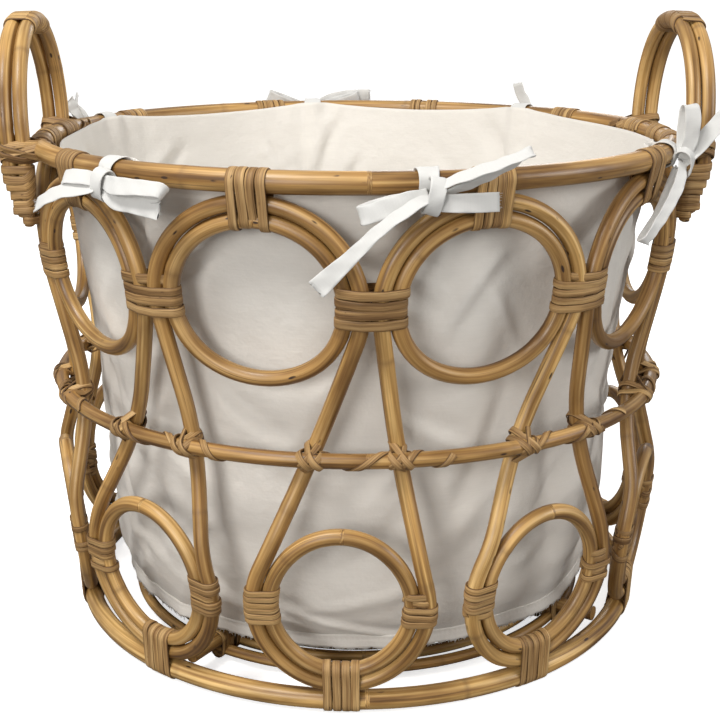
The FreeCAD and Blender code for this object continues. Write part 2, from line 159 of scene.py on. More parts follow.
class Panel:
    """Leaning plane of a ring: x sideways and rise along the slope, from the ring's centre."""

    def __init__(self, node, angle):
        self.angle = angle
        self.distance, half_out = extent(node, outwards(angle))
        self.height, half_up = extent(node, UP)
        half_side = extent(node, sideways(angle))[1]
        lean_out, lean_up = half_out - RING_R, half_up - RING_R
        self.half_width = half_side - RING_R
        self.half_height = math.hypot(lean_out, lean_up)
        self.lean = math.degrees(math.atan2(lean_out, lean_up))

    def facing(self, angle):
        """The same panel at another angle about Z."""
        other = copy.copy(self)
        other.angle = angle
        return other

    def point(self, x, rise):
        out = self.distance + rise * sin(self.lean)
        z = self.height + rise * cos(self.lean)
        return outwards(self.angle) * out + sideways(self.angle) * x + UP * z

    def seen(self, point):
        slope = outwards(self.angle) * sin(self.lean) + UP * cos(self.lean)
        away = point - outwards(self.angle) * self.distance - UP * self.height
        return away @ sideways(self.angle), away @ slope


class Oval:
    """Oval of four tangent arcs, the sharper pair with a radius just under its shorter half."""

    def __init__(self, half_width, half_height, ease):
        long_half, short_half = max(half_width, half_height), min(half_width, half_height)
        sharp = short_half - ease
        blunt = ((long_half - sharp) ** 2 + short_half ** 2 - sharp ** 2) / (2 * (short_half - sharp))
        tall = half_height > half_width
        self.side_radius, self.end_radius = (blunt, sharp) if tall else (sharp, blunt)
        self.side_centre = half_width - self.side_radius
        self.end_centre = half_height - self.end_radius
        self.join = math.degrees(math.asin(abs(self.end_centre) / (blunt - sharp)))

    def at(self, angle, grow=0.0):
        """Point where the outward normal has this angle from +x."""
        bearing = (angle + 180) % 360 - 180
        x, y, radius = 0, self.end_centre * math.copysign(1, sin(angle)), self.end_radius
        if min(abs(bearing), 180 - abs(bearing)) < self.join:
            x, y, radius = self.side_centre * math.copysign(1, cos(angle)), 0, self.side_radius
        return x + (radius + grow) * cos(angle), y + (radius + grow) * sin(angle)

    def touch(self, x, rise, grow, side):
        """Normal angle at which the line to (x, rise) leaves the grown side arc."""
        run = x * side - self.side_centre
        bearing = math.degrees(math.atan2(rise, run))
        opening = math.degrees(math.acos((self.side_radius + grow) / math.hypot(run, rise)))
        angle = bearing - math.copysign(opening, rise)
        return angle if side > 0 else 180 - angle


UPPER_FIRST = Panel("upper_ring_01", HALF)
LOWER_FIRST = Panel("lower_ring_01", LOWER_TURN)
UPPER_OVAL = Oval(UPPER_FIRST.half_width, UPPER_FIRST.half_height, UPPER_EASE)
LOWER_OVAL = Oval(LOWER_FIRST.half_width, LOWER_FIRST.half_height, LOWER_EASE)


def upper_panel(index):
    return UPPER_FIRST.facing(HALF + PITCH * index)


def lower_panel(index):
    return LOWER_FIRST.facing(LOWER_TURN + PITCH * index)


# ---------------------------------------------------------------- centre lines
def oval_line(panel, oval, first, last, grow=0.0):
    count = max(2, int(abs(last - first) / 2))
    return [panel.point(*oval.at(a, grow)) for a in np.linspace(first, last, count)]


def rounded(points, cuts):
    """Points along straight runs joined by tangent arcs, each starting a cut before its corner."""
    line = [points[0]]
    for before, corner, after, cut in zip(points, points[1:], points[2:], cuts):
        into, out = unit(corner - before), unit(after - corner)
        half_turn = math.acos(np.clip(into @ out, -1, 1)) / 2
        radius = cut / math.tan(half_turn)
        centre = corner + unit(out - into) * (radius / math.cos(half_turn))
        arm = corner - into * cut - centre
        axis = into
        for turn in np.linspace(0, 2 * half_turn, 12):
            line.append(centre + arm * math.cos(turn) + axis * radius * math.sin(turn))
    line.append(points[-1])
    return line


def stake_leg(index, side):
    upper = upper_panel(index)
    lower = lower_panel(index + (side + 1) // 2)
    near = -side
    inset = WAIST_CUT * math.tan(math.radians(WAIST_BEND) / 2) / 2
    angle = HALF + PITCH * index + WAIST_TURN + side * WAIST_SPREAD
    waist = outwards(angle) * (WAIST_STAKE_R - inset) + UP * WAIST_Z
    leave = UPPER_OVAL.touch(*upper.seen(waist), STEP, side)
    arrive = LOWER_OVAL.touch(*lower.seen(waist), STEP, near)
    arrive -= 360 if arrive > 90 else 0
    foot_gap = math.degrees(STAKE_END_GAP / 2 / (LOWER_OVAL.end_radius + STEP))
    arch = oval_line(upper, UPPER_OVAL, 90, leave, STEP)
    foot = oval_line(lower, LOWER_OVAL, arrive, -90 + near * foot_gap, STEP)
    start, end = arch[-1], foot[0]
    first = start + unit(arch[-1] - arch[-2]) * STAKE_LEAD
    last = end - unit(foot[1] - foot[0]) * STAKE_LEAD
    run = rounded((start, first, waist, last, end), (STAKE_LEAD, WAIST_CUT, STAKE_LEAD))
    return arch[:-1] + run + foot[1:]


def stake_line(index):
    return stake_leg(index, -1)[::-1] + stake_leg(index, 1)[1:]


def hoop_line(radius, height):
    return [outwards(a) * radius + UP * height for a in np.arange(0, 360, 1.5)]


# Handles, made at the front and turned to the sides
HANDLE_CANE = 5.25 * MM
HANDLE_STEP = 10.7 * MM
FOOT_OFFSET = 0.437
HANDLE_BEND_Z = RIM_Z - 8.1 * MM
HANDLE_BEND_R = 60 * MM
HANDLE_LEAN = 1.5
FOOT_TAPER = 30 * MM
FOOT_END = 0.45
FOOT_SETTLE = 0.42
HANDLE_TOP = extent("handle_right_inner", UP)[0] + extent("handle_right_inner", UP)[1] - HANDLE_CANE
HANDLE_R = RIM_R + RIM_CANE + HANDLE_CANE + 0.2 * MM
FOOT_ANGLE = HALF - FOOT_OFFSET
HANDLE_SPAN = HANDLE_R * sin(FOOT_ANGLE)
HANDLE_OUT = HANDLE_R * cos(FOOT_ANGLE)
LEAN_UP = outwards(0) * sin(HANDLE_LEAN) + UP * cos(HANDLE_LEAN)
LEAN_OUT = outwards(0) * cos(HANDLE_LEAN) - UP * sin(HANDLE_LEAN)
HANDLE_STRAIGHT = ((HANDLE_TOP - HANDLE_BEND_Z - HANDLE_BEND_R * sin(HANDLE_LEAN))
                   / cos(HANDLE_LEAN) - HANDLE_SPAN)
HANDLE_ARCH = (outwards(0) * (HANDLE_OUT + HANDLE_BEND_R * (1 - cos(HANDLE_LEAN)))
               + UP * (HANDLE_BEND_Z + HANDLE_BEND_R * sin(HANDLE_LEAN)) + LEAN_UP * HANDLE_STRAIGHT)


def handle_line(offset, foot_z):
    radius = HANDLE_BEND_R - offset
    legs = []
    for side in (-1, 1):
        middle = (sideways(0) * (side * HANDLE_SPAN) + UP * HANDLE_BEND_Z
                  + outwards(0) * (HANDLE_OUT + HANDLE_BEND_R))
        bend = [middle - outwards(0) * (radius * cos(a)) + UP * (radius * sin(a))
                for a in np.linspace(0, HANDLE_LEAN, 4)]
        foot = []
        for share in np.linspace(0, 1, 9)[:-1]:            # the end leans in on the cane before it
            height = foot_z + (HANDLE_BEND_Z - foot_z) * share
            lean = offset * FOOT_SETTLE * (1 - eased(min(1, (height - foot_z) / FOOT_TAPER)))
            foot.append(bend[0] + UP * (height - HANDLE_BEND_Z) - outwards(0) * lean)
        legs.append(foot + bend)
    centre = HANDLE_ARCH + LEAN_OUT * offset
    arch = [centre - sideways(0) * (HANDLE_SPAN * cos(a)) + LEAN_UP * (HANDLE_SPAN * sin(a))
            for a in np.linspace(0, 180, 60)]
    return legs[0] + arch + legs[1][::-1]


def foot_share(at, total):
    """Thickness of a handle cane along its length: both feet are pared down to a thin end."""
    left = np.clip(np.minimum(at, total - at) / FOOT_TAPER, 0, 1)
    return FOOT_END + (1 - FOOT_END) * eased(left)


def turn(points, angle):
    """Points turned about Z."""
    points = np.asarray(points)
    matrix = np.array([[cos(angle), -sin(angle), 0], [sin(angle), cos(angle), 0], [0, 0, 1]])
    return points @ matrix.T


# ---------------------------------------------------------------- materials
class Shading:
    """A node material under construction: each method adds a node and returns its output."""

    def __init__(self, name):
        self.material = bpy.data.materials.new(name)
        self.material.use_nodes = True
        self.tree = self.material.node_tree
        self.bsdf = self.tree.nodes["Principled BSDF"]

    def node(self, kind, inputs=(), **settings):
        """A new node. inputs are (socket, value or output), and settings are its properties."""
        node = self.tree.nodes.new(kind)
        for key, value in settings.items():
            setattr(node, key, value)
        for key, value in inputs:
            self.put(node.inputs[key], value)
        return node

    def put(self, socket, value):
        if isinstance(value, bpy.types.NodeSocket):
            self.tree.links.new(value, socket)
        else:
            socket.default_value = value

    def attribute(self, name, output="Fac"):
        return self.node("ShaderNodeAttribute", attribute_name=name).outputs[output]

    def scaled(self, vector, scale):
        inputs = ((0, vector), (1, scale))
        return self.node("ShaderNodeVectorMath", inputs, operation="MULTIPLY").outputs[0]

    def noise(self, vector, scale=1.0, detail=3.0, rough=0.55):
        inputs = (("Vector", vector), ("Scale", scale), ("Detail", detail), ("Roughness", rough))
        return self.node("ShaderNodeTexNoise", inputs).outputs["Fac"]

    def spots(self, vector):
        """Distance to the nearest of some scattered points."""
        return self.node("ShaderNodeTexVoronoi", (("Vector", vector), ("Scale", 1.0))).outputs["Distance"]

    def math(self, operation, a, b=0.0, c=0.0):
        return self.node("ShaderNodeMath", ((0, a), (1, b), (2, c)), operation=operation).outputs[0]

    def ramp(self, value, *stops):
        """Colour or grey ramp through (place, value) stops."""
        node = self.node("ShaderNodeValToRGB", ((0, value),))
        elements = node.color_ramp.elements
        while len(elements) < len(stops):
            elements.new(0.5)
        for element, (place, colour) in zip(elements, stops):
            element.position = place
            element.color = (colour, colour, colour, 1) if isinstance(colour, float) else (*colour, 1)
        return node.outputs[0]

    def mix(self, factor, a, b, blend="MIX"):
        """Two colours mixed. The second may be an output."""
        inputs = (("Factor", factor), (6, a), (7, b if isinstance(b, bpy.types.NodeSocket) else (*b, 1)))
        return self.node("ShaderNodeMix", inputs, data_type="RGBA", blend_type=blend).outputs[2]

    def tinted(self, colour, low, middle, high):
        """Colour times a tint chosen by the piece's own tone, from -1 to 1."""
        tone = self.math("MULTIPLY_ADD", self.attribute("tone"), 0.5, 0.5)
        return self.mix(1.0, colour, self.ramp(tone, (0.0, low), (0.5, middle), (1.0, high)), "MULTIPLY")

    def finish(self, **values):
        """Values or outputs for the surface's sockets, named with _ for a space."""
        for key, value in values.items():
            self.put(self.bsdf.inputs[key.replace("_", " ")], value)
        return self.material

    def bump(self, height, distance, strength, *normal):
        inputs = [("Height", height), ("Distance", distance), ("Strength", strength)]
        return self.node("ShaderNodeBump", inputs + [("Normal", n) for n in normal]).outputs[0]


def cane_material():
    """Smooth honey-brown rattan skin: lengthwise streaks, dark growth rings, small dark flecks."""
    s = Shading("rattan_cane")
    grain = s.attribute("grain", "Vector")
    streak = s.noise(s.scaled(grain, (330, 330, 8)), detail=4, rough=0.5)
    fine = s.noise(s.scaled(grain, (2300, 2300, 26)), detail=2)
    patch = s.noise(s.scaled(grain, (60, 60, 14)), detail=3)
    colour = s.ramp(streak, (0.30, (0.170, 0.083, 0.023)), (0.43, (0.350, 0.190, 0.059)),
                    (0.55, (0.500, 0.298, 0.104)), (0.68, (0.72, 0.475, 0.205)))
    mottle = s.ramp(patch, (0.34, (0.50, 0.44, 0.37)), (0.50, (0.93, 0.93, 0.91)),
                    (0.66, (1.20, 1.18, 1.12)))
    colour = s.mix(0.85, colour, mottle, "MULTIPLY")
    colour = s.tinted(colour, (0.78, 0.73, 0.66), (0.96, 0.95, 0.93), (1.16, 1.18, 1.16))
    crack = s.ramp(s.noise(s.scaled(grain, (760, 760, 7)), detail=3, rough=0.7),
                   (0.625, 0.0), (0.66, 0.7))
    colour = s.mix(crack, colour, (0.105, 0.052, 0.02))
    distance = s.spots(s.scaled(grain, (170, 170, 55)))
    rare = s.ramp(s.noise(s.scaled(grain, (70, 70, 30)), detail=1), (0.56, 0.0), (0.61, 1.0))
    fleck = s.math("MULTIPLY", s.ramp(distance, (0.12, 1.0), (0.18, 0.0)), rare)
    colour = s.mix(fleck, colour, (0.045, 0.022, 0.012))
    colour = s.mix(s.math("MULTIPLY", s.attribute("mark"), 0.42), colour, (0.16, 0.08, 0.03))
    height = s.math("ADD", s.math("MULTIPLY", streak, 0.6), s.math("MULTIPLY", fine, 0.4))
    height = s.math("SUBTRACT", height, s.math("MULTIPLY", fleck, 0.6))
    return s.finish(Base_Color=colour, Roughness=s.ramp(patch, (0.3, 0.30), (0.7, 0.46)),
                    Specular_IOR_Level=0.55, Normal=s.bump(height, 0.22 * MM, 0.55))


def peel_material():
    """Split cane peel: paler and matter than the cane, straight fibres, and painted shade darkening its
    edges, where the gaps between turns lie in shadow.
    """
    s = Shading("cane_peel")
    grain = s.attribute("grain", "Vector")
    fibre = s.noise(s.scaled(grain, (1500, 900, 22)), detail=3)
    broad = s.noise(s.scaled(grain, (260, 200, 16)), detail=3)
    colour = s.ramp(broad, (0.30, (0.235, 0.130, 0.052)), (0.5, (0.41, 0.255, 0.110)),
                    (0.70, (0.60, 0.41, 0.200)))
    colour = s.mix(0.85, colour, s.ramp(fibre, (0.36, (0.44, 0.38, 0.31)), (0.60, (1.12, 1.1, 1.04))),
                   "MULTIPLY")
    colour = s.tinted(colour, (0.62, 0.57, 0.52), (0.98, 0.96, 0.94), (1.34, 1.34, 1.26))
    # Painted shade: the strip's edges are darkened nearly to black, standing in for the shadow in the
    # gaps between turns.
    edge = s.ramp(s.attribute("edge"), (0.40, 0.0), (0.95, 0.92))
    colour = s.mix(edge, colour, (0.075, 0.036, 0.014))
    fleck = s.ramp(s.noise(s.scaled(grain, (420, 420, 120)), detail=1), (0.765, 0.0), (0.79, 0.8))
    colour = s.mix(fleck, colour, (0.10, 0.05, 0.02))
    return s.finish(Base_Color=colour, Roughness=s.ramp(fibre, (0.3, 0.50), (0.7, 0.66)),
                    Specular_IOR_Level=0.35,
                    Normal=s.bump(s.math("ADD", fibre, broad), 0.22 * MM, 0.7))


def cotton_material(name, colour, crease, thread):
    """Plain-woven cotton: crossing threads, slubs and small creases."""
    s = Shading(name)
    place = s.attribute("cloth", "Vector")
    inputs = (("Vector", place), ("Scale", 0.314 / thread), ("Distortion", 1.2), ("Detail", 1.0),
              ("Detail Scale", 2.0))
    across, along = [s.node("ShaderNodeTexWave", inputs, wave_type="BANDS", bands_direction=way)
                     for way in "XY"]
    weave = s.math("MULTIPLY", across.outputs["Fac"], along.outputs["Fac"])
    slub = s.noise(s.scaled(place, (60, 900, 1)), detail=2)
    crush = s.noise(place, 34.0, 4.0, 0.55)
    soft = s.noise(place, 9.0, 3.0, 0.5)
    shade = s.ramp(s.math("ADD", s.math("MULTIPLY", slub, 0.35), s.math("MULTIPLY", soft, 0.65)),
                   (0.30, tuple(0.93 * c for c in colour)), (0.65, colour))
    relief = s.bump(s.math("ADD", crush, s.math("MULTIPLY", soft, 1.5)), crease, 0.8)
    relief = s.bump(s.math("ADD", weave, s.math("MULTIPLY", slub, 0.6)), 0.12 * MM, 0.5, relief)
    return s.finish(Base_Color=shade, Roughness=0.88, Specular_IOR_Level=0.2, Sheen_Weight=0.25,
                    Sheen_Roughness=0.5, Normal=relief)


MATERIALS = {"cane": cane_material(), "peel": peel_material(),
             "liner": cotton_material("liner_cotton", (0.80, 0.765, 0.712), 2.6 * MM, 0.6 * MM),
             "tape": cotton_material("tape_cotton", (0.715, 0.71, 0.69), 1.2 * MM, 0.7 * MM)}


# ---------------------------------------------------------------- mesh helpers
class Mesh:
    """Vertices, faces and per-vertex attributes gathered for one piece."""

    def __init__(self, **attributes):
        self.verts, self.faces = [], []
        self.kinds = attributes
        self.values = {key: [] for key in attributes}

    def add(self, verts, faces, **values):
        start = sum(len(v) for v in self.verts)
        self.verts.append(np.reshape(verts, (-1, 3)))
        self.faces.extend(tuple(start + i for i in face) for face in faces)
        for key, value in values.items():
            self.values[key].append(np.ravel(value))

    def build(self, name, material, body, slot, *nodes):
        verts = np.vstack(self.verts)
        mesh = bpy.data.meshes.new(name)
        mesh.from_pydata(verts.tolist(), [], self.faces)
        for key, kind in self.kinds.items():
            layer = mesh.attributes.new(key, kind, "POINT")
            values = np.concatenate(self.values[key]).astype(np.float32)
            layer.data.foreach_set("vector" if kind == "FLOAT_VECTOR" else "value", values)
        mesh.polygons.foreach_set("use_smooth", [True] * len(mesh.polygons))
        mesh.materials.append(MATERIALS[material])
        piece = linked(name, mesh)
        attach(piece, body)
        if nodes:
            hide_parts(*nodes)
        return piece


def grid_faces(rows, columns, close_rows=False, close_columns=True):
    """Quads of a grid of vertices, row after row, closed round either way."""
    faces = []
    for i in range(rows if close_rows else rows - 1):
        low, high = i * columns, ((i + 1) % rows) * columns
        for k in range(columns if close_columns else columns - 1):
            after = (k + 1) % columns
            faces.append((low + k, low + after, high + after, high + k))
    return faces


def swept(line, first, second, x, y):
    """Grid of vertices: a section drawn in two side directions at each point of a line."""
    return line[:, None] + x[:, :, None] * first[:, None] + y[:, :, None] * second[:, None]


def spread(shape, *parts):
    """Grid of vectors from parts that broadcast to it."""
    return np.stack([np.broadcast_to(part, shape) for part in parts], axis=2)


def units(rows):
    return rows / np.linalg.norm(rows, axis=1)[:, None]


def lengths_of(points):
    return np.concatenate([[0], np.cumsum(np.linalg.norm(np.diff(points, axis=0), axis=1))])


def picked(at, lengths, rows):
    """Rows interpolated at some of their lengths."""
    return np.stack([np.interp(at, lengths, rows[:, k]) for k in range(rows.shape[1])], axis=1)


def resample(points, spacing, closed=False):
    """Evenly spaced points along a line, their distances from its start, and its length."""
    points = np.asarray(points, dtype=float)
    if closed:
        points = np.vstack([points, points[:1]])
    keep = np.concatenate([[True], np.linalg.norm(np.diff(points, axis=0), axis=1) > 1e-6])
    points = points[keep]
    lengths = lengths_of(points)
    count = max(4, int(round(lengths[-1] / spacing)))
    at = np.linspace(0, lengths[-1], count, endpoint=not closed)
    return picked(at, lengths, points), at, lengths[-1]


def smooth_curve(points):
    """Catmull-Rom curve through a few points, in twelve steps between two of them."""
    points = np.asarray(points, dtype=float)
    ring = np.vstack([2 * points[0] - points[1], points, 2 * points[-1] - points[-2]])
    out = []
    for a, b, c, d in zip(ring, ring[1:], ring[2:], ring[3:]):
        for t in np.linspace(0, 1, 12, endpoint=False):
            out.append(0.5 * (2 * b + (c - a) * t + (2 * a - 5 * b + 4 * c - d) * t ** 2
                              + (3 * b - a - 3 * c + d) * t ** 3))
    return np.array(out + [points[-1]])


def tangents(line, closed=False):
    if closed:
        return units(np.roll(line, -1, axis=0) - np.roll(line, 1, axis=0))
    return units(np.gradient(line, axis=0))


def carried_frames(line, closed):
    """Tangents and a pair of side directions carried along a line without twist."""
    tangent = tangents(line, closed)
    first = np.cross(tangent[0], UP)
    if np.linalg.norm(first) < 0.1:
        first = np.cross(tangent[0], outwards(0))
    normal = [unit(first)]
    for t in tangent[1:]:
        normal.append(unit(normal[-1] - t * (normal[-1] @ t)))
    normal = np.array(normal)
    if closed:
        back = unit(normal[-1] - tangent[0] * (normal[-1] @ tangent[0]))
        slip = math.atan2(np.cross(back, normal[0]) @ tangent[0], normal[0] @ back)
        turns = (slip * np.arange(len(line)) / len(line))[:, None]
        normal = normal * np.cos(turns) + np.cross(tangent, normal) * np.sin(turns)
    return tangent, normal, np.cross(tangent, normal)


def flat_frames(points, normals):
    """Along, across and face directions of a flat strip whose face looks along the normals."""
    tangent = tangents(points)
    across = units(np.cross(normals, tangent))
    return tangent, across, np.cross(tangent, across)


def waviness(rng, at, total, size, closed):
    value = np.zeros(len(at))
    for k in range(1, 7):
        turns = k if closed else k * 0.7 + rng.random()
        value += rng.uniform(-1, 1) / k * np.sin(2 * math.pi * (turns * at / total + rng.random()))
    return value * size


# ---------------------------------------------------------------- canes
CANE_SPACING = 3.0 * MM
CANE_SIDES = 16
NODE_LENGTH = 2.4 * MM


def growth_nodes(rng, total):
    """Places of the growth nodes along a cane."""
    places = []
    place = rng.uniform(0.03, 0.16)
    while place < total - 15 * MM:
        places.append(place)
        place += rng.uniform(0.11, 0.24)
    return places


def cane(name, line, radius, seed, node, closed=False, pared=False):
    """A length of rattan, slightly uneven, with a low ridge and a dark ring at each growth node."""
    rng = random.Random(seed)
    line, at, total = resample(line, CANE_SPACING, closed)
    _, normal, side = carried_frames(line, closed)
    ridge, ring = np.zeros(len(at)), np.zeros(len(at))
    for place in growth_nodes(rng, total):
        ridge += np.exp(-((at - place) / NODE_LENGTH) ** 2)
        ring += np.exp(-((at - place - NODE_LENGTH) / (0.8 * NODE_LENGTH)) ** 2)
    girth = radius * (0.99 + 0.025 * ridge) + waviness(rng, at, total, 0.00012, closed)
    if pared:
        girth = girth * foot_share(at, total)
    squash = rng.uniform(0.008, 0.02)
    lobe = 2 * math.pi * (rng.random() + at / total)
    around = np.linspace(0, 2 * math.pi, CANE_SIDES, endpoint=False)
    reach = girth[:, None] * (1 + squash * np.cos(2 * around[None, :] + lobe[:, None]))
    verts = swept(line, normal, side, reach * np.cos(around), reach * np.sin(around))
    grain = spread(reach.shape, radius * np.cos(around), radius * np.sin(around),
                   (at + rng.uniform(0, 40))[:, None])
    tone = rng.uniform(-1, 1)
    mark = np.repeat(np.minimum(1, ring), CANE_SIDES)
    mesh = Mesh(grain="FLOAT_VECTOR", mark="FLOAT", tone="FLOAT")
    mesh.add(verts, grid_faces(len(line), CANE_SIDES, closed), grain=grain, mark=mark,
             tone=np.full(mark.shape, tone))
    if not closed:
        for row, order in ((0, 1), (-1, -1)):
            rim = line[row] + (verts[row] - line[row]) * 0.97
            cap = [(k, CANE_SIDES, (k + 1) % CANE_SIDES)[::order] for k in range(CANE_SIDES)]
            mesh.add(np.vstack([rim, line[row]]), cap, grain=np.vstack([grain[row], [0, 0, 0]]),
                     mark=np.full(CANE_SIDES + 1, 0.5), tone=np.full(CANE_SIDES + 1, tone))
    return mesh.build(name, "cane", CANE_FRAME, "cane", node)


def make_canes():
    cane("cane_rim", hoop_line(RIM_R, RIM_Z), RIM_CANE, 11, "rim_hoop", True)
    cane("cane_waist", hoop_line(WAIST_R, WAIST_Z), WAIST_CANE, 12, "waist_hoop", True)
    cane("cane_base", hoop_line(BASE_R, BASE_Z), BASE_CANE, 13, "base_hoop", True)
    for number, (radius, height, thickness) in enumerate(FLOOR_HOOPS, 1):
        cane("cane_floor_%d" % number, hoop_line(radius, height), thickness, 20 + number,
             "floor_hoop_%d" % number, True)
    for index in range(PANELS):
        number = "%02d" % (index + 1)
        cane("ring_upper_" + number, oval_line(upper_panel(index), UPPER_OVAL, 90, 450)[:-1],
             RING_R, 100 + index, "upper_ring_" + number, True)
        cane("ring_lower_" + number, oval_line(lower_panel(index), LOWER_OVAL, 90, 450)[:-1],
             RING_R, 200 + index, "lower_ring_" + number, True)
        cane("stake_cane_" + number, stake_line(index), RING_R, 300 + index, "stake_" + number)
    for side, angle in (("right", 90), ("left", -90)):
        cane("handle_%s_1" % side, turn(HANDLE_INNER, angle), HANDLE_CANE, 400 + angle,
             "handle_%s_inner" % side, pared=True)
        cane("handle_%s_2" % side, turn(HANDLE_OUTER, angle), HANDLE_CANE, 410 + angle,
             "handle_%s_outer" % side, pared=True)
    for number, line in enumerate(BARS, 1):
        cane("cane_bar_%d" % number, line, BAR_CANE, 30 + number, "floor_bar_%d" % number)


# ---------------------------------------------------------------- wound peel
PEEL_THICK = 1.0 * MM
STEP_OVER = 0.78       # share of a turn after which the peel steps over to the next one
PROFILE = np.array(((-0.5, -0.35), (-0.495, 0.50), (-0.43, 0.88), (-0.2, 1.0), (0, 1.0),
                    (0.2, 1.0), (0.43, 0.88), (0.495, 0.50), (0.5, -0.35)))
# Painted shade at each point of the profile, from none in the middle to full at the strip's edges.
EDGE_SHADE = [1.0, 0.85, 0.35, 0.05, 0.0, 0.05, 0.35, 0.85, 1.0]


def ribbon(mesh, points, normals, width, tone, start):
    """Strip of peel along points, its face towards the normals."""
    points, normals = np.asarray(points), np.asarray(normals)
    _, across, face = flat_frames(points, normals)
    side, rise = PROFILE[:, 0], PROFILE[:, 1] * PEEL_THICK
    verts = swept(points, across, face, (width * side)[None], rise[None])
    shape = verts.shape[:2]
    grain = spread(shape, side * 0.006 + start, rise, (lengths_of(points) + start)[:, None])
    # The edge attribute carries the painted shade at the strip's edges.
    mesh.add(verts, grid_faces(*shape, close_columns=False), grain=grain, tone=np.full(shape, tone),
             edge=np.tile(EDGE_SHADE, len(points)))


CANE_REACH = 45 * MM    # a cane crossing a binding's plane farther off is another one


def crossing(line, centre, axis):
    """Where a line crosses the plane through a point, nearest to the point."""
    away = (line - centre) @ axis
    swap = np.nonzero(away[:-1] * away[1:] <= 0)[0]
    if len(swap) == 0:
        return None
    share = away[swap] / (away[swap] - away[swap + 1] + 1e-12)
    found = line[swap] + (line[swap + 1] - line[swap]) * share[:, None]
    best = found[np.argmin(np.linalg.norm(found - centre, axis=1))]
    return best if np.linalg.norm(best - centre) < CANE_REACH else None


def outline(circles, count, back):
    """Evenly spaced points and normals round the tight loop about some circles, from its back."""
    angles = back + np.linspace(0, 2 * math.pi, 181)
    facing = np.stack([np.cos(angles), np.sin(angles)], axis=1)
    reach = np.array([facing @ c[:2] + c[2] for c in circles])
    chosen = np.argmax(reach, axis=0)
    points = np.array([circles[c][:2] + circles[c][2] * f for c, f in zip(chosen, facing)])
    lengths = lengths_of(points)
    at = np.linspace(0, lengths[-1], count + 1)
    return picked(at, lengths, points), units(picked(at, lengths, facing))


def wind(mesh, rng, canes, stations, back, turns, strip, count=52, slack=0.0, loose=0.5):
    """Peel wound round canes. stations are (centre, u, v, axis) frames along the binding."""
    loops, normals = [], []
    for centre, u, v, axis in stations:
        circles = []
        for line, radius in canes:
            at = crossing(line, centre, axis)
            if at is None:
                continue
            if np.ndim(radius):                             # a cane pared thinner along its length
                radius = radius[np.argmin(np.linalg.norm(line - at, axis=1))]
            circles.append(np.array([(at - centre) @ u, (at - centre) @ v, radius]))
        loop, normal = outline(circles, count, back)
        loops.append(centre + loop[:, :1] * u + loop[:, 1:] * v)
        normals.append(normal[:, :1] * u + normal[:, 1:] * v)
    loops, normals = np.array(loops), np.array(normals)
    length = lengths_of(np.array([s[0] for s in stations]))
    span = length[-1] - strip
    step = span / max(1, turns - 1) if turns > 1 else 0
    share = np.linspace(0, 1, count + 1)
    shift = eased(np.where(share > STEP_OVER, (share - STEP_OVER) / (1 - STEP_OVER), 0))
    tone = rng.uniform(-0.6, 0.6)
    start = rng.uniform(0, 9)
    for k in range(turns):
        tilt = rng.uniform(-1, 1) * loose * MM
        middle = strip / 2 + step * (k + (shift if k < turns - 1 else 0))
        middle = middle + tilt * np.sin(2 * math.pi * share) + rng.uniform(-0.25, 0.25) * loose * MM
        index = np.clip(middle / length[-1] * (len(stations) - 1), 0, len(stations) - 1.001)
        low = index.astype(int)
        part = (index - low)[:, None]
        columns = np.arange(count + 1)
        points = loops[low, columns] * (1 - part) + loops[low + 1, columns] * part
        normal = normals[low, columns] * (1 - part) + normals[low + 1, columns] * part
        lift = slack + rng.uniform(0, 0.25) * MM
        width = strip * rng.uniform(0.93, 1.04)
        ribbon(mesh, points + normal * lift, normal, width, tone + rng.uniform(-0.5, 0.5),
               start + k * 0.09)


def straight_stations(centre, u, v, axis, width, count=9):
    return [(centre + axis * w, u, v, axis) for w in np.linspace(-width / 2, width / 2, count)]


def bent_stations(line, middle, width, out, count=11):
    """Stations along a cane's own line, about the point nearest to a place."""
    lengths = lengths_of(line)
    centre = lengths[np.argmin(np.linalg.norm(line - middle, axis=1))]
    stations = []
    for w in np.linspace(-width / 2, width / 2, count):
        at, ahead = picked([centre + w, centre + w + 2 * MM], lengths, line)
        axis = unit(ahead - at)
        v = unit(out - axis * (out @ axis))
        stations.append((at, np.cross(v, axis), v, axis))
    return stations


# Lines of every cane, dense, for the peel to follow
LINE_SPACING = 1.5 * MM


def closed_line(radius, height):
    line = resample(hoop_line(radius, height), LINE_SPACING, True)[0]
    return np.vstack([line, line[:1]])


RIM_LINE = closed_line(RIM_R, RIM_Z)
WAIST_LINE = closed_line(WAIST_R, WAIST_Z)
BASE_LINE = closed_line(BASE_R, BASE_Z)
UPPER_LINES = [np.array(oval_line(upper_panel(i), UPPER_OVAL, 90, 450)) for i in range(PANELS)]
LOWER_LINES = [np.array(oval_line(lower_panel(i), LOWER_OVAL, -270, 90)) for i in range(PANELS)]
STAKE_LINES = [resample(stake_line(i), LINE_SPACING)[0] for i in range(PANELS)]
HANDLE_INNER = handle_line(0, RIM_Z - 53 * MM)
HANDLE_OUTER = handle_line(HANDLE_STEP, RIM_Z - 42.1 * MM)
WAIST_REACH = 16 * MM   # a stake nearer than this is tied in at the waist
RIM_WRAP_ANGLE = 11.3
BAR_ANGLE = -35.5
BAR_MIDDLE, BAR_CANE = extent("floor_bar_1", UP)
BAR_END = BASE_R - 6 * MM
BARS = [[outwards(BAR_ANGLE + a) * BAR_END * s + UP * BAR_MIDDLE for s in (-1, 1)] for a in (0, 90)]


def bind(mesh, rng, canes, centre, frame_at, out, choices, width=25 * MM, count=52, loose=0.5):
    """Turns side by side round canes, with the peel's ends on the basket's inner side.

    frame_at is (u, v, axis), and choices are the numbers of turns it may have.
    """
    turns = rng.choice(choices)
    back = math.pi if frame_at[0] @ out > 0 else 0
    wind(mesh, rng, canes, straight_stations(centre, *frame_at, width), back, turns,
         width / turns * 0.98, count, loose=loose)


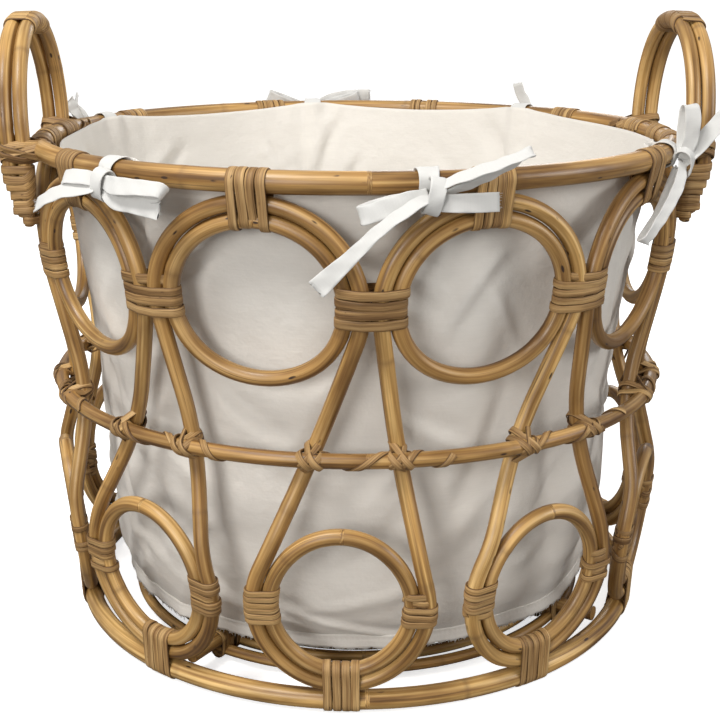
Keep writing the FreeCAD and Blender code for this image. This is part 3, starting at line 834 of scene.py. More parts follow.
def top_bindings(mesh, rng):
    for i in range(PANELS):
        angle = upper_panel(i).angle
        out, side = outwards(angle), sideways(angle)
        canes = [(RIM_LINE, RIM_CANE), (STAKE_LINES[i], RING_R), (UPPER_LINES[i], RING_R)]
        bind(mesh, rng, canes, out * RIM_R + UP * (RIM_Z - 12 * MM), (out, UP, side), out, (4, 5, 5))


def shoulder_bindings(mesh, rng):
    for i in range(PANELS):
        out, side = outwards(PITCH * i), sideways(PITCH * i)
        centre = out * (UPPER_FIRST.distance * cos(HALF) + 20 * MM) + UP * UPPER_FIRST.height
        canes = [(line[k], RING_R) for line in (STAKE_LINES, UPPER_LINES) for k in (i - 1, i)]
        axis = unit(UP + out * math.tan(math.radians(UPPER_FIRST.lean)) * cos(HALF))
        bind(mesh, rng, canes, centre, (np.cross(axis, side), side, axis), out, (4, 4, 5), 26 * MM,
             64, 0.8)


def side_bindings(mesh, rng):
    for i in range(PANELS):
        panel = lower_panel(i)
        out, side = outwards(panel.angle), sideways(panel.angle)
        axis = unit(UP + out * math.tan(math.radians(panel.lean)))
        for way, stake in ((-1, STAKE_LINES[i - 1]), (1, STAKE_LINES[i])):
            centre = panel.point(way * (panel.half_width + STEP / 2), 0)
            bind(mesh, rng, [(LOWER_LINES[i], RING_R), (stake, RING_R)], centre,
                 (np.cross(axis, side), side, axis), out, (5, 5, 6), loose=0.7)


def base_bindings(mesh, rng):
    for i in range(PANELS):
        angle = lower_panel(i).angle
        out, side = outwards(angle), sideways(angle)
        canes = [(line, RING_R) for line in (STAKE_LINES[i], STAKE_LINES[i - 1], LOWER_LINES[i])]
        bind(mesh, rng, [(BASE_LINE, BASE_CANE)] + canes, out * BASE_R + UP * (BASE_Z + 12 * MM),
             (out, UP, side), out, (4, 5, 5), loose=0.6)


def cross_lashing(mesh, rng, canes, centre, out, strip, slope, spread):
    """Strips crossing in an X where canes meet: two strands wound in each of two slanting planes."""
    side = np.cross(out, UP)
    for hand in (1, -1):
        axis = UP * cos(slope) + side * (hand * sin(slope))
        stations = straight_stations(centre, out, np.cross(axis, out), axis, spread, 5)
        wind(mesh, rng, canes, stations, math.pi, 2, strip, 44,
             slack=(0.1 if hand > 0 else 1.0) * MM, loose=0.9)


def spiral(mesh, rng, first, last, turns, hand):
    """Strip winding along the waist hoop between two angles."""
    share = np.linspace(0, 1, int(turns * 26) + 8)
    angles = first + (last - first) * share
    around = hand * 360 * turns * share + rng.uniform(0, 360)
    normals = [outwards(a) * cos(t) + UP * sin(t) for a, t in zip(angles, around)]
    points = [outwards(a) * WAIST_R + UP * WAIST_Z + normal * (WAIST_CANE + 0.1 * MM)
              for a, normal in zip(angles, normals)]
    ribbon(mesh, points, normals, 4.4 * MM, rng.uniform(-0.2, 0.6), rng.uniform(0, 9))


def waist_lashings(mesh, rng):
    for i in range(PANELS):
        middle = HALF + PITCH * i + WAIST_TURN
        for way in (-1, 1):
            out = outwards(middle + way * WAIST_SPREAD)
            centre = out * (WAIST_R - WAIST_CANE) + UP * WAIST_Z
            canes = [(line, RING_R) for line in STAKE_LINES
                     if np.linalg.norm(line - centre, axis=1).min() < WAIST_REACH]
            cross_lashing(mesh, rng, [(WAIST_LINE, WAIST_CANE)] + canes, centre, out, 4.5 * MM,
                          rng.uniform(46, 54), rng.uniform(8.6, 9.6) * MM)
        leg = middle - WAIST_SPREAD                         # peel runs on along the hoop from leg to leg
        spiral(mesh, rng, leg - PITCH + 2 * WAIST_SPREAD + 1.2, leg - 1.2, rng.uniform(1.0, 1.35),
               rng.choice((-1, 1)))
        reach = leg + rng.uniform(7, 10)
        spiral(mesh, rng, leg + 1.2, reach, rng.uniform(0.9, 1.2), rng.choice((-1, 1)))


def floor_lashings(mesh, rng):
    for radius, height, thickness in FLOOR_HOOPS:
        for quarter in range(4):
            angle = BAR_ANGLE + 90 * quarter
            out, side = outwards(angle), sideways(angle)
            centre = out * radius + UP * (height + BAR_MIDDLE) / 2
            bar = np.array([out * r for r in np.linspace(0.05, BAR_END, 60)]) + UP * BAR_MIDDLE
            hoop = bar - UP * (BAR_MIDDLE - height)         # room for the hoop that crosses below
            wind(mesh, rng, [(bar, BAR_CANE), (hoop, thickness * 1.1)],
                 straight_stations(centre, UP, side, out, 13 * MM), math.pi / 2, 3, 4.3 * MM, 40)


def grip_bindings(mesh, rng):
    for angle in (90, -90):
        inner, outer = [resample(turn(line, angle), LINE_SPACING)[0]
                        for line in (HANDLE_INNER, HANDLE_OUTER)]
        middle = (inner + outer[np.linspace(0, len(outer) - 1, len(inner)).astype(int)]) / 2
        top = middle[np.argmax(middle[:, 2])]
        stations = bent_stations(middle, top, 54 * MM, outwards(angle), 17)
        wind(mesh, rng, [(inner, HANDLE_CANE), (outer, HANDLE_CANE)], stations, 0, 9,
             6.3 * MM, 56, loose=1.6)


def rim_wraps(mesh, rng):
    for angle in (90, -90):
        for way in (-1, 1):
            middle = angle + way * RIM_WRAP_ANGLE
            line = np.array([outwards(a) * RIM_R + UP * RIM_Z
                             for a in np.linspace(middle - 12, middle + 12, 80)])
            stations = bent_stations(line, line[40], 28 * MM, UP, 13)
            wind(mesh, rng, [(RIM_LINE, RIM_CANE)], stations, 0, 5, 5.7 * MM, 40, loose=1.2)


def foot_lashings(mesh, rng):
    for angle in (90, -90):
        canes = []
        for line in (HANDLE_INNER, HANDLE_OUTER):
            line, at, total = resample(turn(line, angle), LINE_SPACING)
            canes.append((line, HANDLE_CANE * foot_share(at, total)))
        for way in (-1, 1):
            out, side = outwards(angle + way * FOOT_ANGLE), sideways(angle + way * FOOT_ANGLE)
            centre = out * (HANDLE_R + HANDLE_STEP / 2) + UP * (RIM_Z - 31.2 * MM)
            wind(mesh, rng, canes, straight_stations(centre, out, side, UP, 42.5 * MM, 13), math.pi, 7,
                 6.2 * MM, 48, loose=1.5)
            cross_lashing(mesh, rng, canes + [(RIM_LINE, RIM_CANE)], out * HANDLE_R + UP * RIM_Z, out,
                          6.0 * MM, 30, 11 * MM)
            low = out * HANDLE_R + UP * (RIM_Z - 45 * MM)
            stake = min(STAKE_LINES, key=lambda line: np.min(np.linalg.norm(line - low, axis=1)))
            wind(mesh, rng, canes + [(stake, RING_R)], straight_stations(low, out, side, UP, 12 * MM, 5),
                 math.pi, 2, 5.6 * MM, 56, slack=1.1 * MM, loose=1.4)


def make_peel():
    """One piece for each CAD node of bindings or lashings."""
    for name, seed, draw in (("peel_top", 51, top_bindings), ("peel_shoulder", 52, shoulder_bindings),
                             ("peel_side", 53, side_bindings), ("peel_base", 54, base_bindings),
                             ("peel_waist", 55, waist_lashings), ("peel_floor", 56, floor_lashings),
                             ("peel_grips", 57, grip_bindings), ("peel_rim", 58, rim_wraps),
                             ("peel_feet", 59, foot_lashings)):
        # edge carries the painted shade at each strip's edges.
        mesh = Mesh(grain="FLOAT_VECTOR", tone="FLOAT", edge="FLOAT")
        draw(mesh, random.Random(seed))
        mesh.build(name, "peel", CANE_FRAME, "peel", draw.__name__)


# ---------------------------------------------------------------- liner
WALL_COLUMNS = 400
WALL_ROWS = 120
WALL_SEAM = 80.0       # the upright seam is beside a handle
WALL_LAP = 4           # columns by which the wall's ends overlap at the seam
OUT_ROOM = 4.5         # most that a crease stands out, in mm
COTTON_THICK = 0.8 * MM
FLOOR_RINGS = 46
FLOOR_CLEAR = 1.6 * MM  # from the lowest point of the CAD liner up to the cloth of its bottom
SEAM_DROP = 9.5 * MM
SEAM_COLUMNS = 900
SEAM_ROWS = 8
SEAM_THREAD_R = 0.24 * MM
WALL_LIFT = 5.5 * MM   # the seam edge below the wall takes up this height
FRONT_LIFT = 4.0 * MM
TIE_ANGLES = (8.0, 62.4, 138.0, 188.0, 242.4, 318.0)
LINER_LOW, LINER_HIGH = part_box("liner_wall")
LINER_BOTTOM = LINER_LOW.z
HEM_Z = LINER_HIGH.z
WALL_SHAPE = ((0.0, HEM_Z, 222.0), (0.10, 0.332, 218.5), (0.22, 0.298, 212.0), (0.40, 0.235, 203.0),
              (0.58, 0.170, 197.5), (0.76, 0.105, 195.5), (0.90, 0.055, 193.0), (1.0, 0.0275, 184.0))


def near_tie(angle):
    """Signed degrees from the nearest tie."""
    best = min(TIE_ANGLES, key=lambda tie: abs((angle - tie + 180) % 360 - 180))
    return (angle - best + 180) % 360 - 180


def bell(value, width):
    return math.exp(-(value / width) ** 2)


def creases(rng):
    """Creases in the wall: bearing, share of the drop, direction, length, width, size and curve.

    Bearings and directions are in degrees, and the other sizes in mm.
    """
    rows = []
    for _ in range(150):                                    # slumped cloth, most of it low down
        low = rng.random() ** 0.6
        rows.append((rng.uniform(0, 360), 0.20 + 0.78 * low,
                     rng.choice((-1, 1)) * rng.uniform(20, 75), rng.uniform(26, 75),
                     rng.uniform(4.5, 10.0), rng.uniform(1.1, 3.1) * (0.6 + 0.6 * low),
                     rng.uniform(-9, 9)))
    for tie in TIE_ANGLES:                                  # pulls that run down from each tie
        for _ in range(7):
            way = rng.uniform(-42, 42)
            reach = rng.uniform(0.10, 0.32)
            rows.append((tie + way * reach * 1.7, 0.02 + reach, -way * 1.3, rng.uniform(35, 70),
                         rng.uniform(4.0, 7.5), rng.uniform(1.8, 3.8), rng.uniform(-3, 3)))
    for _ in range(26):                                     # broad waves
        rows.append((rng.uniform(0, 360), rng.uniform(0.15, 0.95), rng.uniform(-30, 30),
                     rng.uniform(60, 120), rng.uniform(16, 30), rng.uniform(-4.5, 4.5),
                     rng.uniform(-2, 2)))
    return rows


WALL_MIDDLE_R = 205     # the wall's middling radius and drop, in mm, which set the creases' scale
WALL_DROP = 360


def wall_offset(angles, share, rows):
    """How far the creases push the wall outwards, in mm."""
    around, down = np.meshgrid(angles, share)
    total = np.zeros_like(around)
    for angle, height, direction, length, width, size, curve in rows:
        x = ((around - angle + 180) % 360 - 180) * math.radians(1) * WALL_MIDDLE_R
        y = (down - height) * WALL_DROP
        along = y * cos(direction) + x * sin(direction)
        across = x * cos(direction) - y * sin(direction) + curve * (along / length) ** 2
        hollow = np.exp(-((across - 1.7 * width) / (1.3 * width)) ** 2)
        ridge = np.exp(-(across / width) ** 2) - 0.55 * hollow
        total += size * ridge * np.exp(-(along / length) ** 4 * 2)
    return total


def cotton_piece(name, verts, faces, cloth, thickness=0.0, nodes=()):
    """A piece of the liner's cotton, given its thickness on both sides of the vertices."""
    mesh = Mesh(cloth="FLOAT_VECTOR")
    mesh.add(verts, faces, cloth=cloth)
    piece = mesh.build(name, "liner", LINER, "liner_cotton", *nodes)
    if thickness:
        solid = piece.modifiers.new("cloth thickness", "SOLIDIFY")
        solid.thickness = thickness
        solid.offset = 0
    return piece


def liner_wall():
    """The liner's side, hung from the ties. Returns its lower edge."""
    rng = random.Random(71)
    share = np.linspace(0, 1, WALL_ROWS)
    base = smooth_curve(WALL_SHAPE)
    heights = np.interp(share, base[:, 0], base[:, 1])
    radii = np.interp(share, base[:, 0], base[:, 2]) * MM
    step = 360 / WALL_COLUMNS
    angles = WALL_SEAM + np.arange(WALL_COLUMNS + WALL_LAP) * step
    offsets = wall_offset(angles, share, creases(rng))
    offsets = np.where(offsets > 0, OUT_ROOM * np.tanh(offsets / OUT_ROOM), offsets) - 1.0
    offsets *= np.minimum(1, share / 0.06)[:, None]
    verts = np.zeros((WALL_ROWS, len(angles), 3))
    cloth = np.zeros((WALL_ROWS, len(angles), 3))
    phases = [rng.uniform(0, 360) for _ in range(8)]
    for column, angle in enumerate(angles):
        gap = near_tie(angle)
        sag = 1 - bell(gap, 15)
        ripple = (1.1 * sin(7 * angle + phases[0]) + 0.9 * sin(11 * angle + phases[1])
                  + 0.7 * sin(23 * angle + phases[2]))
        pull = 2.4 * bell(abs(gap) - 3.2, 1.4) - 3.2 * bell(gap, 1.6) + 1.6 * bell(abs(gap) - 9, 2.5)
        lap = 1.1 * min(1, max(0, column - WALL_COLUMNS + 2) / 2)
        for row, s in enumerate(share):
            top = math.exp(-s / 0.20)
            radius = radii[row] - 3.0 * MM * sag * top
            height = (heights[row] - 4 * MM * sag * math.exp(-s / 0.35) + 2.5 * MM * bell(gap, 6) * top
                      + (WALL_LIFT + FRONT_LIFT * bell((angle + 180) % 360 - 170, 60)) * s ** 4)
            offset = (ripple * (0.25 + math.sin(math.pi * min(1, s * 1.05)))
                      + pull * math.exp(-s / 0.16) + offsets[row, column] + lap)
            verts[row, column] = outwards(angle) * (radius + offset * MM) + UP * height
            cloth[row, column] = (math.radians(angle) * 0.2, s * 0.36, 0)
    wall = cotton_piece("liner_wall_cloth", verts, grid_faces(*verts.shape[:2], close_columns=False),
                        cloth, COTTON_THICK, ["liner_wall"])
    return verts[-1, :WALL_COLUMNS]


def liner_floor(edge):
    """Round bottom of the liner, sewn to the wall's lower edge."""
    level = LINER_BOTTOM + FLOOR_CLEAR
    verts, cloth = [], []
    for share in np.linspace(1, 0, FLOOR_RINGS):
        for point in edge:
            x, y = point[0] * share, point[1] * share
            lift = (1.2 * math.sin(x * 60 + 1) * math.cos(y * 47) + 0.8 * math.sin(x * 110 - y * 90)) * MM
            verts.append((x, y, level + lift * (1 - share ** 6) + (point[2] - level) * share ** 14))
            cloth.append((x, y, 0))
    floor = cotton_piece("liner_floor_cloth", verts, grid_faces(FLOOR_RINGS, len(edge)), cloth,
                         COTTON_THICK, ["liner_base"])


def liner_seam(edge):
    """Seam allowance hanging below the wall: a sewn line, then a raw, frayed lower edge."""
    rng = random.Random(74)
    closed = np.vstack([edge, edge[:1]])
    along = np.linspace(0, lengths_of(closed)[-1], SEAM_COLUMNS, endpoint=False)
    fine = picked(along, lengths_of(closed), closed)
    verts = np.zeros((SEAM_ROWS, SEAM_COLUMNS, 3))
    cloth = np.zeros((SEAM_ROWS, SEAM_COLUMNS, 3))
    for k, place in enumerate(fine):
        flat = unit(np.array([place[0], place[1], 0]))
        bearing = math.degrees(math.atan2(place[0], -place[1]))
        on_bar = abs((bearing - BAR_ANGLE + 45) % 90 - 45) < 3.5
        ragged = rng.uniform(0, 1.3) * MM + 0.5 * MM * math.sin(k * 0.9)
        stitch = 0.5 + 0.5 * math.sin(k * 2.2)
        for row in range(SEAM_ROWS):
            s = row / (SEAM_ROWS - 1)
            out = 0.9 + 0.9 * s + 0.5 * math.sin(k * 0.13) * s + 0.3 * math.sin(k * 0.31 + 1) * s
            groove = -0.6 * stitch if row == 2 else 0
            height = place[2] + 1.5 * MM - SEAM_DROP * s - (ragged if s == 1 else 0)
            if on_bar:
                height = max(height, BAR_MIDDLE + BAR_CANE + 0.8 * MM)
            verts[row, k] = place + flat * (out + groove) * MM
            verts[row, k, 2] = height
            cloth[row, k] = (k * 0.0013, s * 0.01, 0)
    strands, faces = [], []
    for k in range(0, SEAM_COLUMNS, 2):                     # threads of the raw edge
        start = verts[-1, k] + UP * 0.6 * MM
        sway = sideways(rng.uniform(0, 360)) * rng.uniform(0, 0.9) * MM
        line = [start, start + sway * 0.4 - UP * rng.uniform(0.9, 1.5) * MM,
                start + sway - UP * rng.uniform(1.4, 2.8) * MM]
        faces += [tuple(len(strands) + corner for corner in face) for face in grid_faces(3, 3)]
        strands += [p + SEAM_THREAD_R * outwards(a) for p in line for a in (240, 120, 0)]
    frayed = cotton_piece("liner_seam_threads", strands, faces, strands)
    seam = cotton_piece("liner_seam_edge", verts, grid_faces(SEAM_ROWS, SEAM_COLUMNS), cloth, 0.9 * MM)


# ---------------------------------------------------------------- tape ties
TAPE_WIDTH = 11.5 * MM
TAPE_THICK = 1.5 * MM
TAPE_SPACING = 1.6 * MM
TAPE_CURL = 0.35 * MM
TAPE_THREAD_R = 0.16 * MM


def tape_section():
    """Flat tape sewn from a folded strip: rounded edges, a stitched groove near one edge."""
    angles = np.linspace(0, 2 * math.pi, 20, endpoint=False)
    x = np.sign(np.cos(angles)) * np.abs(np.cos(angles)) ** 0.55
    y = np.sign(np.sin(angles)) * np.abs(np.sin(angles)) ** 0.75
    groove = 0.45 * np.exp(-((x - 0.55) / 0.13) ** 2)
    return x, y * (1 - groove)


def tape(mesh, rng, frame_at, controls, ragged):
    """Cotton tape through control points, with a ragged far end where it is cut. Returns its length.

    Each control is ((side, up, out), (face side, face up, face out), share of the full width).
    """
    origin, *basis = frame_at
    rows = [list(np.array(p) * MM) + list(np.array(n) * MM) + [w * MM] for p, n, w in controls]
    path = smooth_curve(rows)
    run = lengths_of(path[:, :3])
    count = max(6, int(round(run[-1] / TAPE_SPACING)))
    path = picked(np.linspace(0, run[-1], count), run, path)
    points = origin + path[:, :3] @ basis
    tangent, across, face = flat_frames(points, units(path[:, 3:6] @ basis))
    widths = path[:, 6] / MM * TAPE_WIDTH
    x, y = tape_section()
    at = lengths_of(points)
    squeeze = TAPE_WIDTH / np.maximum(widths, 0.25 * TAPE_WIDTH)
    depth = TAPE_THICK / 2 * (0.8 + 0.2 * squeeze)
    pucker = 0.35 * MM * np.sin(at * 420 + 3 * x[:, None]).T * np.abs(x)
    crush = 0.5 * MM * np.sin(3 * x + 0.2) * (squeeze - 1)[:, None]
    rise = depth[:, None] * y + (pucker + TAPE_CURL * x ** 2 + crush)
    verts = swept(points, across, face, (widths / 2)[:, None] * x, rise)
    if ragged:
        for k in range(len(x)):
            verts[-1, k] += tangent[-1] * rng.uniform(0, 1.6) * MM
    cloth = spread(rise.shape, x * TAPE_WIDTH / 2, at[:, None], y * MM)
    last = (count - 1) * len(x)
    caps = [tuple(range(len(x)))[::-1], tuple(range(last, last + len(x)))]
    mesh.add(verts, grid_faces(count, len(x)) + caps, cloth=cloth)
    return at[-1]


def threads(mesh, rng, frame_at, end, way, across):
    """Loose threads at a raw tape end."""
    origin, side, up, out = frame_at
    for _ in range(16):
        start = np.array(end) + np.array(across) * rng.uniform(-5, 5)
        reach = rng.uniform(1.0, 3.2)
        bend = np.array([rng.uniform(-1, 1) for _ in range(3)]) * 0.7
        points = [start, start + np.array(way) * reach * 0.5 + bend * 0.4,
                  start + np.array(way) * reach + bend]
        line = origin + np.array(points) * MM @ (side, up, out)
        around = np.linspace(0, 2 * math.pi, 4, endpoint=False)
        verts = [p + TAPE_THREAD_R * (1 - 0.3 * k) * (math.cos(a) * side + math.sin(a) * up)
                 for k, p in enumerate(line) for a in around]
        mesh.add(verts, grid_faces(3, 4), cloth=verts)


WRAP_REACH = 8.4
KNOT_UP, KNOT_OUT = -5.0, 12.5


def over_rim(first, last, lean=0.0, wide=(1.5, 0.9)):
    """Tape lying round the rim between two bearings: 0 in front of it, 90 on top, 180 inside."""
    controls = []
    for share in np.linspace(0, 1, 8):
        angle = first + (last - first) * share
        controls.append(((lean * (0.5 - share), WRAP_REACH * sin(angle), WRAP_REACH * cos(angle)),
                         (0, sin(angle), cos(angle)), wide[0] + (wide[1] - wide[0]) * share))
    return controls


def knot_band(tilt, size=(7.0, 4.6), middle=(0.0, KNOT_UP, KNOT_OUT)):
    """The turn of tape pulled tight over the middle of the bow."""
    controls = []
    for share in np.linspace(0, 1, 11):
        angle = -150 + 340 * share
        rise, reach = size[0] * sin(angle), size[1] * cos(angle)
        side = rise * sin(tilt) + 1.5 * (share - 0.5)
        controls.append(((middle[0] + side, middle[1] + rise * cos(tilt), middle[2] + reach),
                         (sin(angle) * sin(tilt), sin(angle) * cos(tilt), cos(angle)), 0.86))
    return controls


def loop_out(tip, plump, back_shift=(0, -3, -5)):
    """Bow loop from the knot to a tip and back, its face outwards on the near layer."""
    tip, root, shift = np.array(tip), np.array([0, KNOT_UP, KNOT_OUT]), np.array(back_shift)
    way = unit(tip - root)
    looking = np.array([0, 0.25, 1.0])
    face = unit(looking - way * (way @ looking))
    near = [root + (tip - root) * t + face * plump * math.sin(math.pi * t ** 0.8)
            for t in (0.05, 0.3, 0.6, 0.88)]
    far = [root + shift * t + (tip - root) * t - face * (1.0 + 0.25 * plump * math.sin(math.pi * t))
           for t in (0.86, 0.55, 0.3, 0.05)]
    controls = [(p, face, 0.62 if k == 0 else 1.0) for k, p in enumerate(near)]
    controls.append((tip + way * 1.2 + shift * 0.4, way, 1.0))
    return controls + [(p, -face, 1.0 if k < 2 else 0.75) for k, p in enumerate(far)]


def tail_to(*places, face=(0, 0.2, 1.0)):
    """Tape end from the knot through some places."""
    return [((0, KNOT_UP - 1, KNOT_OUT), face, 0.7)] + [(p, face, 1.0) for p in places]


def bow(number, parts, frays):
    """One tie. parts are (controls, whether the far end is cut), and frays are (end, way, across)."""
    rng = random.Random(80 + number)
    mesh = Mesh(cloth="FLOAT_VECTOR")
    angle = TIE_ANGLES[number - 1]
    frame_at = (outwards(angle) * RIM_R + UP * RIM_Z, sideways(angle), UP, outwards(angle))
    total = sum(tape(mesh, rng, frame_at, controls, ragged) for controls, ragged in parts)
    for fray in frays:
        threads(mesh, rng, frame_at, *fray)
    piece = mesh.build("tie_bow_%d" % number, "tape", LINER, "tape_cotton", "tie_%d" % number)


def make_bows():
    wraps = [(over_rim(205, -30, 3), False), (over_rim(205, 335, -2, (1.0, 0.85)), False)]
    bow(1, wraps + [
        ([((4, 0, 15), (0, 0.9, 0.5), 0.7), ((20, 7, 21), (-0.2, 0.9, 0.5), 0.85),
          ((38, 13, 23), (-0.3, 0.9, 0.4), 0.85), ((54, 18, 20), (0.3, 0.8, 0.3), 0.7),
          ((57, 18, 16), (1.0, 0.2, 0), 0.6), ((48, 11, 14), (0.2, -0.8, 0.4), 0.9),
          ((28, 3, 16), (0.2, -0.8, 0.6), 1.0), ((6, -5, 13), (0.2, -0.8, 0.6), 0.75)], False),
        (loop_out((-42, -17, 12), 2.4, (4, 2, -4)), False),
        ([((0, -10, 14), (0, 0.2, 1.0), 0.8), ((14, -10, 17), (0, 0.15, 1.0), 0.95),
          ((28, -10, 17), (0, 0.1, 1.0), 1.0), ((38, -10, 16), (0.1, 0.1, 1.0), 1.0)], True),
        ([((-2, -6, 15), (-0.2, 0.8, 0.7), 0.65), ((-16, -12, 22), (-0.3, 0.8, 0.6), 0.8),
          ((-32, -23, 22), (-0.5, 0.6, 0.7), 0.75), ((-48, -39, 18), (-0.4, 0.3, 0.9), 0.8),
          ((-60, -51, 14), (-0.2, 0.2, 1.0), 1.0), ((-67, -58, 12), (-0.2, 0.2, 1.0), 1.1)], True),
        (knot_band(12, (10.5, 6.8), (1, -6, 13)), False)],
        [((38, -10, 16), (1, 0, 0), (0, 1, 0)), ((-67, -58, 12), (-0.75, -0.6, 0), (0.6, -0.75, 0))])
    bow(2, wraps + [
        ([((0, -3, 13), (-0.9, 0, 0.45), 0.7), ((-1, 10, 17), (-0.9, 0, 0.45), 0.9),
          ((-2, 24, 18), (-0.9, 0, 0.45), 0.95), ((-1, 33, 16), (-0.3, 1, 0.2), 0.95),
          ((2, 28, 13), (0.9, 0.1, -0.45), 0.95), ((3, 12, 12), (0.9, 0, -0.45), 0.9),
          ((2, -3, 12), (0.9, 0, -0.45), 0.7)], False),
        ([((0, -5, 13), (0.3, 0.8, 0.5), 0.6), ((-16, -16, 15), (0.2, 0.8, 0.6), 0.75),
          ((-36, -29, 13), (0.2, 0.7, 0.7), 0.7), ((-56, -41, 9), (0.0, 0.4, 0.9), 0.7),
          ((-65, -49, 5), (-0.6, -0.8, 0.1), 0.75), ((-58, -48, 3), (0.4, -0.7, -0.6), 0.75),
          ((-36, -35, 7), (0.4, -0.7, -0.6), 0.7), ((-3, -10, 10), (0.5, -0.7, -0.4), 0.6)], False),
        (tail_to((6, 4, 20), (13, 15, 28), (20, 26, 36), face=(-0.5, 0.75, 0.4)), True),
        (knot_band(-20, (10.0, 6.5), (0, -5, 13)), False)],
        [((20, 26, 36), (0.5, 0.6, 0.5), (0.5, -0.5, 0.6))])
    bow(3, wraps + [
        (tail_to((4, 6, 13), (10, 15, 13), (13, 24, 11), face=(0.2, 0.1, -1.0)), True),
        (loop_out((-30, -22, 16), 4.0), False),
        (loop_out((26, -18, 16), 3.5, (-3, 2, -4)), False),
        (tail_to((-8, -18, 16), (-14, -34, 17), (-20, -48, 16)), True),
        (knot_band(8), False)],
        [((13, 24, 11), (0.1, 1, 0), (1, 0, 0))])
    bow(4, wraps + [
        (loop_out((40, 12, 11), 3.0, (-3, -3, -2)), False),
        (loop_out((-46, 9, 12), 3.0, (3, -2, -3)), False),
        (tail_to((-14, 4, 15), (-34, 9, 16), (-56, 10, 13)), True),
        (tail_to((10, -16, 16), (18, -32, 17), (22, -46, 16)), True),
        (knot_band(-6), False)],
        [((-56, 10, 13), (-1, 0, 0), (0, 1, 0))])
    bow(5, wraps + [
        (loop_out((12, 18, 26), 3.0, (-2, -3, 3)), False),
        (loop_out((-30, -16, 18), 3.5, (3, 2, -4)), False),
        (tail_to((4, 4, 19), (2, 12, 26), (-3, 20, 30), face=(0.6, 0.2, 0.7)), True),
        (tail_to((6, -18, 16), (8, -34, 17), (12, -48, 15)), True),
        (knot_band(10), False)],
        [((-3, 20, 30), (-0.2, 0.8, 0.4), (1, 0, 0))])
    bow(6, wraps + [
        ([((6, -5, 15), (0, 0.3, 1.0), 0.75), ((24, -5, 21), (0, 0.5, 1.0), 1.0),
          ((42, -4, 22), (0, 0.6, 1.0), 0.9), ((57, -4, 19), (0.5, 0.5, 0.7), 0.85),
          ((60, -6, 16), (1.0, -0.2, 0.0), 0.8), ((55, -9, 13), (0.4, -0.7, -0.6), 0.85),
          ((40, -9, 13), (0, -0.6, -0.8), 1.0), ((22, -8, 12), (0, -0.5, -0.9), 0.9),
          ((6, -7, 11), (0, -0.3, -1.0), 0.75)], False),
        ([((4, -6, 13), (-0.1, 0.5, 0.9), 0.7), ((-10, -3, 19), (-0.1, 0.6, 0.8), 0.9),
          ((-24, -4, 20), (-0.2, 0.6, 0.8), 0.9), ((-30, -6, 17), (-0.9, 0, 0.3), 0.9),
          ((-24, -9, 14), (0.2, -0.7, -0.5), 0.9), ((-8, -9, 12), (0.2, -0.6, -0.7), 0.75)], False),
        (tail_to((16, -14, 17), (34, -15, 18), (55, -17, 16), face=(0.1, 0.3, 1.0)), True),
        (tail_to((-6, -9, 19), (-22, -12, 24), (-38, -18, 26), (-50, -24, 25),
                 face=(0.1, 0.7, 0.8)), True),
        (knot_band(10, (9.5, 6.0), (2, -7, 13)), False)],
        [((55, -17, 16), (1, -0.15, 0), (0, 1, 0)), ((-50, -24, 25), (-1, -0.5, 0), (0.4, -1, 0))])


# ---------------------------------------------------------------- floor and light
FLOOR_HALF = 80.0      # so large that its far edge is lost in the white
FLOOR_GLOW = 0.68      # keeps the pale floor near white in the picture
FLOOR_BOUNCE = 0.20    # how much of the light the floor sends back on the basket


def camera_only(tree, lighting_shader, seen_shader, output):
    """One shader for what the camera sees, and another for the light sent to other surfaces."""
    path = tree.nodes.new("ShaderNodeLightPath")
    mixed = tree.nodes.new("ShaderNodeMixShader")
    for source, target in ((path.outputs["Is Camera Ray"], mixed.inputs[0]),
                           (lighting_shader.outputs[0], mixed.inputs[1]),
                           (seen_shader.outputs[0], mixed.inputs[2]),
                           (mixed.outputs[0], tree.nodes[output].inputs["Surface"])):
        tree.links.new(source, target)


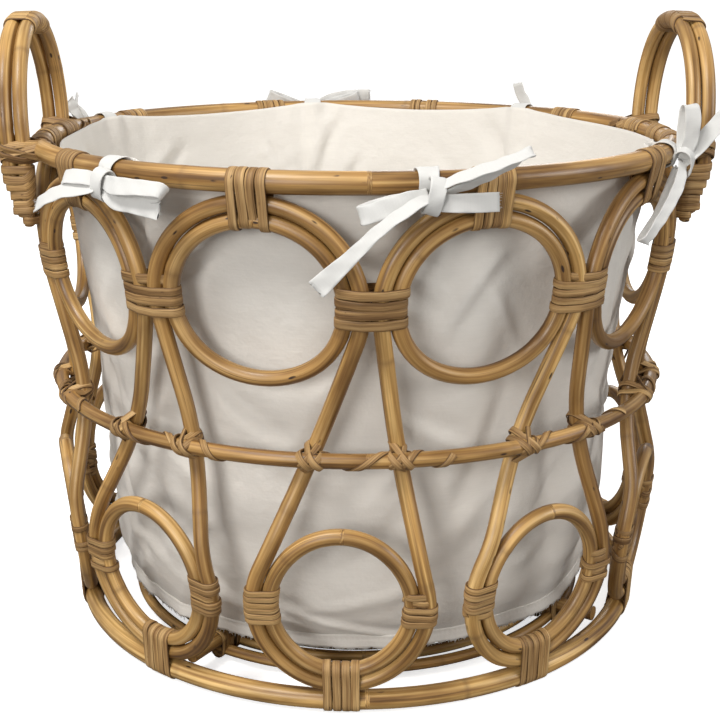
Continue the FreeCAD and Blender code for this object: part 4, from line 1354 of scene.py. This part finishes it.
def stage():
    mesh = bpy.data.meshes.new("studio_floor")
    half = FLOOR_HALF
    mesh.from_pydata([(-half, -half, 0), (half, -half, 0), (half, half, 0), (-half, half, 0)], [],
                     [(0, 1, 2, 3)])
    floor = linked("studio_floor", mesh)
    s = Shading("studio_white")
    s.finish(Base_Color=(0.93, 0.93, 0.93, 1), Roughness=0.9, Specular_IOR_Level=0.1,
             Emission_Color=(1, 1, 1, 1), Emission_Strength=FLOOR_GLOW)
    dull = s.node("ShaderNodeBsdfDiffuse", (("Color", (FLOOR_BOUNCE,) * 3 + (1,)),))
    camera_only(s.tree, dull, s.bsdf, "Material Output")
    mesh.materials.append(s.material)


LIGHTS = (("key", (-0.70, -0.80, 1.75), (0.5, 0.5), 20.5, (1.0, 0.985, 0.955)),
          ("front", (-0.9, -1.9, 0.85), (0.7, 0.6), 16, (1.0, 0.985, 0.96)),
          ("right", (1.9, -0.7, 0.9), (0.9, 0.7), 13, (1.0, 0.99, 0.97)),
          ("back", (0.5, 2.0, 1.1), (0.9, 0.7), 9, (1.0, 0.99, 0.97)))
LIT_PLACE = (0, 0, 0.2)


def area_light(name, place, size, power, colour):
    data = bpy.data.lights.new(name, "AREA")
    data.shape = "RECTANGLE"
    data.size, data.size_y = size
    data.energy = power
    data.color = colour
    light = linked(name, data)
    light.location = place
    light.rotation_euler = (Vector(LIT_PLACE) - Vector(place)).to_track_quat("-Z", "Y").to_euler()


def lighting():
    world = bpy.data.worlds.new("studio")
    bpy.context.scene.world = world
    world.use_nodes = True
    tree = world.node_tree
    soft = tree.nodes["Background"]
    soft.inputs["Color"].default_value = (1.0, 0.99, 0.975, 1)
    soft.inputs["Strength"].default_value = 0.50
    white = tree.nodes.new("ShaderNodeBackground")
    white.inputs["Color"].default_value = (1, 1, 1, 1)
    camera_only(tree, soft, white, "World Output")
    for light in LIGHTS:
        area_light(*light)
    bpy.context.scene.view_settings.view_transform = "Standard"


make_canes()
make_peel()
wall_edge = liner_wall()
liner_floor(wall_edge)
liner_seam(wall_edge)
make_bows()
stage()
lighting()
